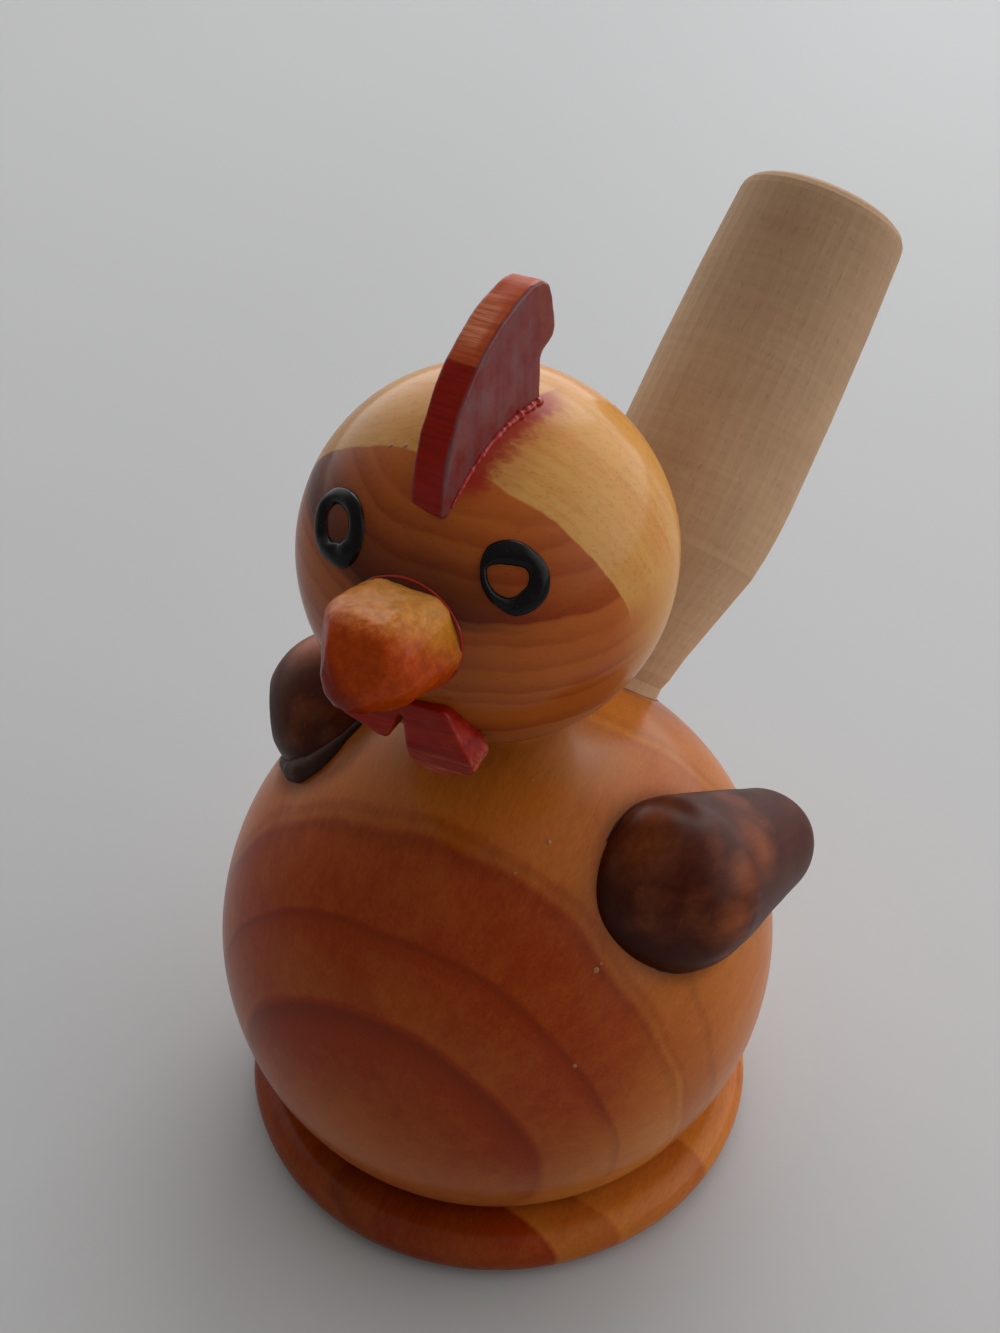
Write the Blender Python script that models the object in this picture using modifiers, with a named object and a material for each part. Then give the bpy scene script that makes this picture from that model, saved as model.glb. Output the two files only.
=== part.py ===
"""Rooster whistle: a turned wooden bird whose tail is a fipple whistle.

The bird looks along -Y and its left side is +X. The table is at Z = 0.
Every size is in metres.
"""
import math

import bmesh
import bpy
from mathutils import Matrix, Vector

# Body: one turning, a ball on a round foot, with a pad that carries the head
BALL_RADIUS = 0.0278
BALL_SINK = 0.0057
FOOT_RADIUS = 0.0268
FOOT_THICKNESS = 0.0050
FOOT_GROOVE_DEPTH = 0.0009
NECK_RISE = 0.0011
NECK_WALL = 0.0006
NECK_COVE = 0.0020

# Head: a smaller turned ball, glued on a little forward and turned to its left
HEAD_RADIUS = 0.0162
HEAD_FORWARD = 0.0008
HEAD_TURN = math.radians(16)
NECK_DOWEL_RADIUS = 0.0030
NECK_DOWEL_IN_BODY = 0.0100
NECK_DOWEL_IN_HEAD = 0.0080

# Comb: a flat plate in a mortise beside the crown, out of line with the face.
# Its corners are measured back and up from a point on the head's surface, and
# the third size of a corner is the length eased off each side of it.
COMB_THICKNESS = 0.0032
COMB_TURN = math.radians(2)
COMB_LEAN = math.radians(2.8)
COMB_OFFSET = 0.0041
COMB_SEAT_ANGLE = math.radians(118)
COMB_ARC_CENTRE = (0.0127, -0.0061)
COMB_ARC_RADIUS = 0.0170
COMB_ARC_START = 172
COMB_ARC_END = 108
COMB_LOBE_TOP = (0.0100, 0.0106, 0.0021)
COMB_LOBE_BACK = (0.0106, 0.0056, 0.0012)
COMB_WAIST = (0.0085, 0.0046, 0.0009)
COMB_FOOT_BACK = (0.0082, -0.0002, 0)
COMB_FOOT_FRONT = (-0.0022, -0.0055, 0)

# Beak: a turned peg with a spigot
BEAK_RADIUS = 0.0049
BEAK_TIP_RADIUS = 0.0041
BEAK_LENGTH = 0.0079
BEAK_RISE = math.radians(5.5)
BEAK_SPIGOT_RADIUS = 0.0015
BEAK_SPIGOT_LENGTH = 0.0060

# Wattles: one notched plate set into the throat. Its corners are measured to
# the bird's left and up from its top edge, with the easing as above.
WATTLE_THICKNESS = 0.0032
WATTLE_UNDER_BEAK = 0.0011
WATTLE_TOP_LEFT = (0.0036, 0, 0.0005)
WATTLE_TOP_RIGHT = (-0.0030, 0, 0.0005)
WATTLE_LEFT_TIP = (0.0063, -0.0056, 0.0008)
WATTLE_LEFT_BELLY = (0.0030, -0.0068, 0.0010)
WATTLE_LEFT_HEEL = (0.0001, -0.0060, 0.0014)
WATTLE_NOTCH = (-0.0003, -0.0011, 0)
WATTLE_RIGHT_HEEL = (-0.0017, -0.0045, 0.0006)
WATTLE_RIGHT_TIP = (-0.0062, -0.0027, 0.0008)

# Eyes: raised enamel rings, each in a turned groove round a bare core
EYE_AZIMUTH = math.radians(32.5)
EYE_LEFT_ELEVATION = math.radians(25)
EYE_RIGHT_ELEVATION = math.radians(29)
EYE_RADIUS = 0.0029
EYE_CORE_RADIUS = 0.0014
EYE_PROUD = 0.0004
EYE_RING_DEPTH = 0.0005

# Wings: turned clubs, hollowed on the inside to sit on the ball. The right one
# was glued on higher and further forward than the left one.
WING_RADIUS = 0.0078
WING_TIP_RADIUS = 0.0054
WING_SPACING = 0.0151
WING_SINK = 0.0005
WING_LEFT_SIDE = math.radians(49)
WING_LEFT_BACK = math.radians(1)
WING_RIGHT_SIDE = math.radians(38.5)
WING_RIGHT_BACK = math.radians(-6.5)
WING_DROP = math.radians(21)
WING_DOWEL_RADIUS = 0.0015
WING_DOWEL_IN_BODY = 0.0060
WING_DOWEL_IN_WING = 0.0045

# Tail: the whistle tube, with a tenon glued in the back of the ball
TAIL_RISE = math.radians(48.9)
TAIL_OFFSET = 0.0009
TAIL_REACH = 0.0506
TAIL_MOUTH_RADIUS = 0.00875
TAIL_BELLY_RADIUS = 0.0096
TAIL_BELLY_FROM_MOUTH = 0.0290
TAIL_SHOULDER_FALL = 0.0006
TAIL_SHOULDER_FROM_BALL = 0.0138
TAIL_ROOT_RADIUS = 0.0058
TAIL_COVE = 0.0005
TAIL_COVE_FROM_BALL = 0.0038
TAIL_EDGE = 0.0017
TENON_STEP = 0.0004
TENON_LENGTH = 0.0130
TENON_SHOULDER_LIFT = 0.0012

# Whistle: bore, block, wind-way and window, on the tube's hidden underside
BORE_RADIUS = 0.0055
BORE_DEPTH = 0.0360
PLUG_LENGTH = 0.0140
WINDWAY_HEIGHT = 0.0012
WINDOW_LENGTH = 0.0042
WINDOW_WIDTH = 0.0058
LABIUM_LENGTH = 0.0080

# Clearances, and the broken edges of turned and sawn pieces
GLUE_GAP = 0.0003
SIDE_PLAY = 0.00015
END_PLAY = 0.0005
TURNED_EDGE = 0.0004
SAWN_EDGE = 0.0002

# Facets round each turning
BODY_STEPS = 60
HEAD_STEPS = 48
TAIL_STEPS = 40
WING_STEPS = 28
BEAK_STEPS = 32
RING_STEPS = 36
DOWEL_STEPS = 16
SHARP_ANGLE = math.radians(38)

# How far a cutter stands clear of the surface that it opens
OVERSHOOT = 0.0010

BALL_HEIGHT = BALL_RADIUS - BALL_SINK
BALL_CENTRE = Vector((0, 0, BALL_HEIGHT))
NECK_RADIUS = NECK_DOWEL_RADIUS + HEAD_FORWARD + NECK_WALL
NECK_TOP = BALL_HEIGHT + BALL_RADIUS + NECK_RISE
HEAD_FLAT_DROP = math.sqrt(HEAD_RADIUS ** 2 - NECK_RADIUS ** 2)
HEAD_HEIGHT = NECK_TOP + GLUE_GAP + HEAD_FLAT_DROP
HEAD_CENTRE = Vector((0, -HEAD_FORWARD, HEAD_HEIGHT))
BEAK_SEAT = math.sqrt(HEAD_RADIUS ** 2 - BEAK_RADIUS ** 2)
TENON_RADIUS = TAIL_ROOT_RADIUS - TENON_STEP
TAIL_LENGTH = BALL_RADIUS + TAIL_REACH
TAIL_AXIS = Vector((0, math.cos(TAIL_RISE), math.sin(TAIL_RISE)))
TAIL_FOOT = BALL_CENTRE + Vector((0, 0, TAIL_OFFSET))


def clear_scene():
    for old in list(bpy.data.objects):
        bpy.data.objects.remove(old, do_unlink=True)


def collection(name):
    made = bpy.data.collections.new(name)
    bpy.context.scene.collection.children.link(made)
    return made


def material(name, colour, roughness):
    made = bpy.data.materials.new(name)
    made.use_nodes = True
    shader = made.node_tree.nodes["Principled BSDF"]
    shader.inputs["Base Color"].default_value = (*colour, 1)
    shader.inputs["Roughness"].default_value = roughness
    shader.inputs["Metallic"].default_value = 0
    return made


def arc(centre_x, centre_z, radius, start, end, count):
    """Points on a circle, with angles in degrees from +X towards +Z."""
    points = []
    for index in range(count + 1):
        angle = math.radians(start + (end - start) * index / count)
        points.append((centre_x + radius * math.cos(angle), centre_z + radius * math.sin(angle)))
    return points


def place(axis, origin):
    """A frame whose Z runs along axis."""
    return Matrix.Translation(origin) @ axis.to_track_quat("Z", "Y").to_matrix().to_4x4()


def half_circle(centre_z, radius, count):
    """The right half of a circle from pole to pole, with its ends on the axis."""
    points = arc(0, centre_z, radius, 90, -90, count)
    return [(0, centre_z + radius)] + points[1:-1] + [(0, centre_z - radius)]


def turned(name, profile, steps, where, group, finish=None, closed=False):
    """A turning: its half profile, from top to bottom, swept about Z."""
    mesh = bpy.data.meshes.new(name)
    edges = [(index, index + 1) for index in range(len(profile) - 1)]
    if closed:
        edges.append((len(profile) - 1, 0))
    mesh.from_pydata([(x, 0, z) for x, z in profile], edges, [])
    made = bpy.data.objects.new(name, mesh)
    group.objects.link(made)
    made.matrix_world = where
    screw = made.modifiers.new("Turning", "SCREW")
    screw.steps = steps
    screw.render_steps = steps
    screw.use_merge_vertices = True
    screw.merge_threshold = 1e-6
    screw.use_smooth_shade = True
    if finish:
        mesh.materials.append(finish)
    return made


def eased(corners, count=3):
    """The closed outline through corners given as X, Y and the length eased off each side."""
    points = []
    for index, (x, y, ease) in enumerate(corners):
        here = Vector((x, y))
        if not ease:
            points.append(here)
            continue
        start = here + (Vector(corners[index - 1][:2]) - here).normalized() * ease
        end = here + (Vector(corners[(index + 1) % len(corners)][:2]) - here).normalized() * ease
        for step in range(count + 1):
            share = step / count
            points.append(start.lerp(here, share).lerp(here.lerp(end, share), share))
    return points


def plate(name, outline, thickness, edge, where, group, finish=None, grown=0):
    """A flat piece sawn from sheet: its outline in X and Y, thick along Z."""
    turns = zip(outline, outline[1:] + outline[:1])
    if sum(a[0] * b[1] - a[1] * b[0] for a, b in turns) < 0:
        outline = outline[::-1]
    curve = bpy.data.curves.new(name, "CURVE")
    curve.dimensions = "2D"
    curve.fill_mode = "BOTH"
    curve.extrude = thickness / 2 - edge
    curve.bevel_depth = edge
    curve.bevel_resolution = 1
    curve.offset = grown - edge
    spline = curve.splines.new("POLY")
    spline.points.add(len(outline) - 1)
    for point, (x, y) in zip(spline.points, outline):
        point.co = (x, y, 0, 1)
    spline.use_cyclic_u = True
    drawn = bpy.data.objects.new(name + "_outline", curve)
    mesh = bpy.data.meshes.new_from_object(drawn)
    mesh.name = name
    bpy.data.objects.remove(drawn)
    weld(mesh)
    made = bpy.data.objects.new(name, mesh)
    group.objects.link(made)
    made.matrix_world = where
    mesh.materials.clear()
    if finish:
        mesh.materials.append(finish)
    return made


def weld(mesh):
    work = bmesh.new()
    work.from_mesh(mesh)
    bmesh.ops.remove_doubles(work, verts=work.verts, dist=1e-6)
    bmesh.ops.recalc_face_normals(work, faces=work.faces)
    work.to_mesh(mesh)
    work.free()


def rod_profile(radius, top, bottom, chamfer=0.0):
    """Half profile of a rod from height top down to bottom."""
    if not chamfer:
        return [(0, top), (radius, top), (radius, bottom), (0, bottom)]
    inner = radius - chamfer
    return [(0, top), (inner, top), (radius, top - chamfer), (radius, bottom + chamfer),
            (inner, bottom), (0, bottom)]


def cut(target, cutter):
    """Takes the cutter's shape out of the target."""
    step = target.modifiers.new("Cut " + cutter.name, "BOOLEAN")
    step.operation = "DIFFERENCE"
    step.solver = "EXACT"
    step.object = cutter


def dowel(name, axis, origin, radius, top, bottom, finish):
    profile = rod_profile(radius, top, bottom, TURNED_EDGE / 2)
    return turned(name, profile, DOWEL_STEPS, place(axis, origin), parts, finish)


def dowel_hole(name, axis, origin, radius, top, bottom):
    profile = rod_profile(radius + SIDE_PLAY, top + END_PLAY, bottom - END_PLAY)
    return turned(name, profile, DOWEL_STEPS, place(axis, origin), cutters)


def on_head(azimuth, elevation):
    """Direction from the head's centre, azimuth from the face towards its left."""
    turn = HEAD_TURN + azimuth
    level = math.cos(elevation)
    return Vector((math.sin(turn) * level, -math.cos(turn) * level, math.sin(elevation)))


def make_body(finish):
    cove_reach = NECK_RADIUS + NECK_COVE
    cove_polar = math.asin(cove_reach / BALL_RADIUS)
    cove_depth = NECK_TOP - BALL_HEIGHT - BALL_RADIUS * math.cos(cove_polar)
    groove_angle = math.asin((BALL_HEIGHT - FOOT_THICKNESS + FOOT_GROOVE_DEPTH) / BALL_RADIUS)
    profile = [(0, NECK_TOP), (NECK_RADIUS - TURNED_EDGE, NECK_TOP)]
    for degrees in (15, 40, 65):
        angle = math.radians(degrees)
        radius = cove_reach - NECK_COVE * math.cos(angle)
        profile.append((radius, NECK_TOP - cove_depth * math.sin(angle)))
    top = 90 - math.degrees(cove_polar)
    profile += arc(0, BALL_HEIGHT, BALL_RADIUS, top, -math.degrees(groove_angle), 26)
    foot_edge = FOOT_THICKNESS / 2
    profile += arc(FOOT_RADIUS - foot_edge, foot_edge, foot_edge, 90, -90, 8)
    profile.append((0, 0))
    return turned("body", profile, BODY_STEPS, Matrix(), parts, finish)


def make_head(finish):
    seat_angle = math.degrees(math.asin(HEAD_FLAT_DROP / HEAD_RADIUS))
    profile = [(0, HEAD_RADIUS)] + arc(0, 0, HEAD_RADIUS, 90, -seat_angle, 22)[1:]
    profile.append((0, -HEAD_FLAT_DROP))
    where = Matrix.Translation(HEAD_CENTRE) @ Matrix.Rotation(HEAD_TURN, 4, "Z")
    return turned("head", profile, HEAD_STEPS, where, parts, finish)


def make_neck_dowel(body, head, finish):
    up = Vector((0, 0, 1))
    foot = Vector((0, -HEAD_FORWARD, NECK_TOP))
    sizes = (up, foot, NECK_DOWEL_RADIUS, NECK_DOWEL_IN_HEAD, -NECK_DOWEL_IN_BODY)
    hole = dowel_hole("neck_hole", *sizes)
    cut(body, hole)
    cut(head, hole)
    return dowel("neck_dowel", *sizes, finish)


def comb_frame():
    """Frame of the comb's middle plane: X back, Y up, Z towards the bird's left."""
    turn = Matrix.Rotation(COMB_TURN, 4, "Z") @ Matrix.Rotation(-COMB_LEAN, 4, "Y")
    stand = Matrix(((0, 0, 1, 0), (1, 0, 0, 0), (0, 1, 0, 0), (0, 0, 0, 1)))
    back = HEAD_RADIUS * math.cos(COMB_SEAT_ANGLE)
    up = HEAD_RADIUS * math.sin(COMB_SEAT_ANGLE)
    return Matrix.Translation(HEAD_CENTRE) @ turn @ stand @ Matrix.Translation((back, up, COMB_OFFSET))


def make_comb(head, finish):
    front = arc(*COMB_ARC_CENTRE, COMB_ARC_RADIUS, COMB_ARC_START, COMB_ARC_END, 10)
    corners = [(x, y, 0) for x, y in front]
    corners += [COMB_LOBE_TOP, COMB_LOBE_BACK, COMB_WAIST, COMB_FOOT_BACK, COMB_FOOT_FRONT]
    outline = eased(corners)
    seat = comb_frame()
    cut(head, plate("comb_mortise", outline, COMB_THICKNESS + 2 * SIDE_PLAY, 0, seat, cutters,
                    grown=SIDE_PLAY))
    return plate("comb", outline, COMB_THICKNESS, SAWN_EDGE, seat, parts, finish)


def make_beak(head, finish):
    tip_centre = BEAK_SEAT + BEAK_LENGTH - BEAK_TIP_RADIUS
    slope = math.degrees(math.atan2(BEAK_RADIUS - BEAK_TIP_RADIUS, tip_centre - BEAK_SEAT))
    spigot_end = BEAK_SEAT - BEAK_SPIGOT_LENGTH
    profile = [(0, BEAK_SEAT + BEAK_LENGTH)] + arc(0, tip_centre, BEAK_TIP_RADIUS, 90, slope, 8)[1:]
    profile += [(BEAK_RADIUS, BEAK_SEAT + TURNED_EDGE), (BEAK_RADIUS - TURNED_EDGE, BEAK_SEAT)]
    profile += [(BEAK_SPIGOT_RADIUS, BEAK_SEAT), (BEAK_SPIGOT_RADIUS, spigot_end), (0, spigot_end)]
    outer = BEAK_RADIUS + SIDE_PLAY
    inner = BEAK_SPIGOT_RADIUS + SIDE_PLAY
    top = HEAD_RADIUS + OVERSHOOT
    floor = BEAK_SEAT - SIDE_PLAY
    bottom = spigot_end - END_PLAY
    hole = [(0, top), (outer, top), (outer, floor), (inner, floor), (inner, bottom), (0, bottom)]
    where = place(on_head(0, BEAK_RISE), HEAD_CENTRE)
    cut(head, turned("beak_hole", hole, BEAK_STEPS, where, cutters))
    return turned("beak", profile, BEAK_STEPS, where, parts, finish)


def wattle_frame():
    """Frame of the wattles' middle plane: X to the bird's left, Y up, Z out of the face."""
    turn = Matrix.Rotation(HEAD_TURN, 4, "Z")
    stand = Matrix(((1, 0, 0, 0), (0, 0, -1, 0), (0, 1, 0, 0), (0, 0, 0, 1)))
    beak_bottom = BEAK_SEAT * math.sin(BEAK_RISE) - BEAK_RADIUS * math.cos(BEAK_RISE)
    middle = HEAD_RADIUS - WATTLE_THICKNESS / 2
    shift = Matrix.Translation((0, beak_bottom - WATTLE_UNDER_BEAK, middle))
    return Matrix.Translation(HEAD_CENTRE) @ turn @ stand @ shift


def make_wattles(head, finish):
    outline = eased([WATTLE_TOP_LEFT, WATTLE_LEFT_TIP, WATTLE_LEFT_BELLY, WATTLE_LEFT_HEEL,
                     WATTLE_NOTCH, WATTLE_RIGHT_HEEL, WATTLE_RIGHT_TIP, WATTLE_TOP_RIGHT])
    seat = wattle_frame()
    cut(head, plate("wattle_recess", outline, WATTLE_THICKNESS + 2 * GLUE_GAP, 0, seat, cutters,
                    grown=SIDE_PLAY))
    return plate("wattles", outline, WATTLE_THICKNESS, SAWN_EDGE, seat, parts, finish)


def make_eye(azimuth, elevation, name, head, finish):
    """A ring that swells out of the head's own curve."""
    floor = HEAD_RADIUS - EYE_RING_DEPTH
    count = 6
    profile = [(EYE_CORE_RADIUS, floor)]
    for index in range(count + 1):
        radius = EYE_CORE_RADIUS + (EYE_RADIUS - EYE_CORE_RADIUS) * index / count
        swell = EYE_PROUD * math.sin(math.pi * index / count)
        profile.append((radius, math.sqrt(HEAD_RADIUS ** 2 - radius ** 2) + swell))
    profile.append((EYE_RADIUS, floor))
    inner = EYE_CORE_RADIUS - SIDE_PLAY
    outer = EYE_RADIUS + SIDE_PLAY
    top = HEAD_RADIUS + OVERSHOOT
    groove = [(inner, top), (outer, top), (outer, floor - SIDE_PLAY), (inner, floor - SIDE_PLAY)]
    where = place(on_head(azimuth, elevation), HEAD_CENTRE)
    cut(head, turned(name + "_groove", groove, RING_STEPS, where, cutters, closed=True))
    return turned(name, profile, RING_STEPS, where, parts, finish, closed=True)


def make_wing(side, back, name, body, finish, dowel_finish):
    """A club on the ball: side is its angle from upright towards the bird's left."""
    level = math.cos(back)
    outward = Vector((math.sin(side) * level, math.sin(back), math.cos(side) * level))
    centre = BALL_CENTRE + outward * (BALL_RADIUS - WING_SINK)
    axis = Vector((0, math.cos(WING_DROP), -math.sin(WING_DROP)))
    slope = math.degrees(math.asin((WING_RADIUS - WING_TIP_RADIUS) / WING_SPACING))
    tip = arc(0, WING_SPACING, WING_TIP_RADIUS, 90, slope, 7)[1:]
    shoulder = arc(0, 0, WING_RADIUS, slope, -90, 11)[:-1]
    profile = [(0, WING_SPACING + WING_TIP_RADIUS)] + tip + shoulder + [(0, -WING_RADIUS)]
    wing = turned(name, profile, WING_STEPS, place(axis, centre), parts, finish)
    cut(wing, ball_cutter)
    label = name.replace("wing", "wing_dowel")
    far = BALL_RADIUS + WING_DOWEL_IN_WING
    near = BALL_RADIUS - WING_DOWEL_IN_BODY
    sizes = (outward, BALL_CENTRE, WING_DOWEL_RADIUS, far, near)
    hole = dowel_hole(label + "_hole", *sizes)
    cut(body, hole)
    cut(wing, hole)
    dowel(label, *sizes, dowel_finish)
    return wing


def tail_profile():
    """Half profile of the tube, as radius and distance along its axis."""
    belly = TAIL_LENGTH - TAIL_BELLY_FROM_MOUTH
    shoulder = BALL_RADIUS + TAIL_SHOULDER_FROM_BALL
    root = BALL_RADIUS + TENON_SHOULDER_LIFT
    tenon_end = BALL_RADIUS - TENON_LENGTH
    profile = [(0, TAIL_LENGTH)]
    profile += arc(TAIL_MOUTH_RADIUS - TAIL_EDGE, TAIL_LENGTH - TAIL_EDGE, TAIL_EDGE, 90, 0, 4)
    for index in (1, 2, 3):
        swell = (TAIL_BELLY_RADIUS - TAIL_MOUTH_RADIUS) * math.sin(index / 3 * math.pi / 2)
        profile.append((TAIL_MOUTH_RADIUS + swell, TAIL_LENGTH - TAIL_BELLY_FROM_MOUTH * index / 3))
    for index in (1, 2, 3):
        fall = TAIL_SHOULDER_FALL * (index / 3) ** 2
        profile.append((TAIL_BELLY_RADIUS - fall, belly + (shoulder - belly) * index / 3))
    profile.append((TAIL_ROOT_RADIUS + TAIL_COVE, BALL_RADIUS + TAIL_COVE_FROM_BALL))
    profile.append((TAIL_ROOT_RADIUS, root))
    profile.append((TENON_RADIUS, BALL_RADIUS))
    profile.append((TENON_RADIUS, tenon_end + TURNED_EDGE))
    profile.append((TENON_RADIUS - TURNED_EDGE, tenon_end))
    profile.append((0, tenon_end))
    return profile


def tail_frame():
    """Frame of the tube: Z along its axis, Y towards its hidden underside."""
    side = Vector((1, 0, 0))
    under = TAIL_AXIS.cross(side)
    turn = Matrix((side, under, TAIL_AXIS)).transposed().to_4x4()
    return Matrix.Translation(TAIL_FOOT) @ turn


def make_tail(body, finish):
    where = tail_frame()
    tail = turned("tail_tube", tail_profile(), TAIL_STEPS, where, parts, finish)
    rod = rod_profile(BORE_RADIUS, TAIL_LENGTH + OVERSHOOT, TAIL_LENGTH - BORE_DEPTH)
    cut(tail, turned("bore", rod, TAIL_STEPS, where, cutters))
    tenon_end = BALL_RADIUS - TENON_LENGTH
    socket = rod_profile(TENON_RADIUS + SIDE_PLAY, BALL_RADIUS + OVERSHOOT, tenon_end - END_PLAY)
    cut(body, turned("tail_socket", socket, TAIL_STEPS, where, cutters))
    cut(tail, window_cutter(where))
    return tail


def window_cutter(tube):
    """The window over the block's end, and the ramp that leaves a sharp lip past it."""
    block_end = TAIL_LENGTH - PLUG_LENGTH
    lip = block_end - WINDOW_LENGTH
    ramp_end = lip - LABIUM_LENGTH
    outside = TAIL_BELLY_RADIUS + OVERSHOOT
    windway_floor = BORE_RADIUS - WINDWAY_HEIGHT
    lip_height = BORE_RADIUS - WINDWAY_HEIGHT / 2
    wedge = [(block_end, outside), (block_end, windway_floor), (lip, windway_floor), (lip, lip_height),
             (ramp_end, TAIL_BELLY_RADIUS), (ramp_end, outside)]
    stand = Matrix(((0, 0, 1, 0), (0, 1, 0, 0), (1, 0, 0, 0), (0, 0, 0, 1)))
    return plate("window", wedge, WINDOW_WIDTH, 0, tube @ stand, cutters)


def make_plug(finish):
    """The block that closes the bore but for the wind-way along its flat."""
    where = tail_frame()
    inner = TAIL_LENGTH - PLUG_LENGTH
    rod = rod_profile(BORE_RADIUS - SIDE_PLAY, TAIL_LENGTH - GLUE_GAP, inner, SAWN_EDGE)
    plug = turned("fipple_plug", rod, TAIL_STEPS, where, parts, finish)
    floor = BORE_RADIUS - WINDWAY_HEIGHT
    wide = BORE_RADIUS + OVERSHOOT
    slab = [(-wide, floor), (wide, floor), (wide, wide), (-wide, wide)]
    middle = where @ Matrix.Translation((0, 0, inner + PLUG_LENGTH / 2))
    cut(plug, plate("wind_way", slab, PLUG_LENGTH + 2 * OVERSHOOT, 0, middle, cutters))
    return plug


def settle(piece):
    """Turns a part's modifiers into its mesh, with sharp edges where it is sharp."""
    mesh = bpy.data.meshes.new_from_object(piece.evaluated_get(bpy.context.evaluated_depsgraph_get()))
    mesh.name = piece.name
    piece.modifiers.clear()
    piece.data = mesh
    mesh.shade_smooth()
    mesh.set_sharp_from_angle(angle=SHARP_ANGLE)


clear_scene()
parts = collection("rooster_whistle")
cutters = collection("cutters")
cutters.hide_render = True

pine = material("varnished_pine", (0.58, 0.27, 0.09), 0.25)
head_pine = material("varnished_head_pine", (0.60, 0.31, 0.12), 0.25)
red_stain = material("red_stain", (0.38, 0.02, 0.02), 0.3)
orange_stain = material("orange_stain", (0.70, 0.25, 0.04), 0.3)
dark_stain = material("dark_stain", (0.10, 0.03, 0.015), 0.25)
bare_wood = material("bare_beech", (0.46, 0.33, 0.22), 0.6)
dowel_wood = material("dowel_birch", (0.70, 0.55, 0.36), 0.6)
black_enamel = material("black_enamel", (0.01, 0.01, 0.012), 0.15)

ball_cutter = turned("ball_cutter", half_circle(0, BALL_RADIUS + SIDE_PLAY, 32), BODY_STEPS,
                     Matrix.Translation(BALL_CENTRE), cutters)

body_object = make_body(pine)
head_object = make_head(head_pine)
make_neck_dowel(body_object, head_object, dowel_wood)
make_comb(head_object, red_stain)
make_beak(head_object, orange_stain)
make_wattles(head_object, red_stain)
make_eye(EYE_AZIMUTH, EYE_LEFT_ELEVATION, "eye_ring_left", head_object, black_enamel)
make_eye(-EYE_AZIMUTH, EYE_RIGHT_ELEVATION, "eye_ring_right", head_object, black_enamel)
make_wing(WING_LEFT_SIDE, WING_LEFT_BACK, "wing_left", body_object, dark_stain, dowel_wood)
make_wing(-WING_RIGHT_SIDE, WING_RIGHT_BACK, "wing_right", body_object, dark_stain, dowel_wood)
make_tail(body_object, bare_wood)
make_plug(bare_wood)

for cutter in cutters.objects:
    cutter.hide_render = True
    cutter.display_type = "WIRE"
for piece in parts.objects:
    settle(piece)
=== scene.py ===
"""Rooster whistle: the finished look of a small turned and varnished wooden bird.

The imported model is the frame. Lengths in meshes are metres, in materials millimetres.
The bird looks along -Y, its left side is +X and it stands on Z = 0.
"""
import math

import bmesh
import bpy
from bpy.props import FloatProperty, FloatVectorProperty, IntProperty, PointerProperty
from mathutils import Matrix, Vector, noise


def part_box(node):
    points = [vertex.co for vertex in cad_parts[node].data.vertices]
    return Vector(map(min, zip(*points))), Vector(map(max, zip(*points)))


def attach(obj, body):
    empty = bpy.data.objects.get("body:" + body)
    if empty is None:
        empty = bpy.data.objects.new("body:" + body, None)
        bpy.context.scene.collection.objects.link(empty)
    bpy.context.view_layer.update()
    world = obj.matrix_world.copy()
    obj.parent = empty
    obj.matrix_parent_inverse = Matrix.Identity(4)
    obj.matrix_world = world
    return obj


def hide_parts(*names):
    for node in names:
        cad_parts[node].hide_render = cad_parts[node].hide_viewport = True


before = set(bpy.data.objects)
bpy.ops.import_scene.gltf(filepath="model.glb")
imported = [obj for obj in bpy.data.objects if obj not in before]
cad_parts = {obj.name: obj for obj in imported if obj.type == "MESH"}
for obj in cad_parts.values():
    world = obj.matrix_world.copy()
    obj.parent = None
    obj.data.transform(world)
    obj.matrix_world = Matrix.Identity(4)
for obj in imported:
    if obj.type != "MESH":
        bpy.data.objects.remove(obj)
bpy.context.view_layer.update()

bl_info = {
    "name": "Rooster whistle",
    "version": (1, 0, 0),
    "blender": (4, 5, 0),
    "location": "3D View > Sidebar > Whistle",
    "description": "Dresses the rooster whistle in turned, stained and varnished wood",
    "category": "Object",
}

MM = 0.001
UP = Vector((0, 0, 1))
BACK = Vector((0, 1, 0))

# The turned forms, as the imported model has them
BALL = Vector((0, 0, 0.0221))
BALL_RADIUS = 0.0278
BALL_FOOT = 0.0041
FOOT_RADIUS = 0.0268
FOOT_HEIGHT = 0.0050
NECK_TOP = 0.0510
NECK_RADIUS = 0.0044
HEAD = Vector((0, -0.0008, 0.06689))
HEAD_RADIUS = 0.0162
HEAD_TURN = math.radians(16)
BEAK_RADIUS = 0.0049
BEAK_LENGTH = 0.0079
BEAK_TILT = math.radians(5.5)
COMB_SIDE = Vector((0.998, 0.035, 0.049))
WING_RADIUS = 0.0078
WING_END_RADIUS = 0.0054
WING_SPACING = 0.0151
WING_FLAT = 0.0072
WING_FALL = math.radians(21)
WING_AXIS = Vector((0, math.cos(WING_FALL), -math.sin(WING_FALL)))
WING_SEATS = {
    "left": BALL + Vector((0.02060, 0.00048, 0.01791)),
    "right": BALL + Vector((-0.01689, -0.00309, 0.02123)),
}
TAIL_RISE = math.radians(48.9)
TAIL_AXIS = Vector((0, math.cos(TAIL_RISE), math.sin(TAIL_RISE)))
TAIL_FOOT = BALL + Vector((0, 0, 0.0009))
TAIL_SEAM = 0.02655
TAIL_SEAM_RADIUS = 0.00563
SOCKET_RADIUS = 0.00555
SOCKET_DEPTH = 0.0135
SMALL_STEPS = 96

# Where each wing bulges past its turned form and by how much, then how far that reaches
HANG = {
    "left": (BALL + Vector((0.0192, -0.0075, 0.0187)), Vector((-0.0012, -0.0010, -0.0005))),
    "right": (BALL + Vector((-0.0154, -0.0109, 0.0204)), Vector((0.0023, -0.0014, 0.0006))),
}
HANG_REACH = 0.0095
LUMP_REACH = 0.0090

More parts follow.
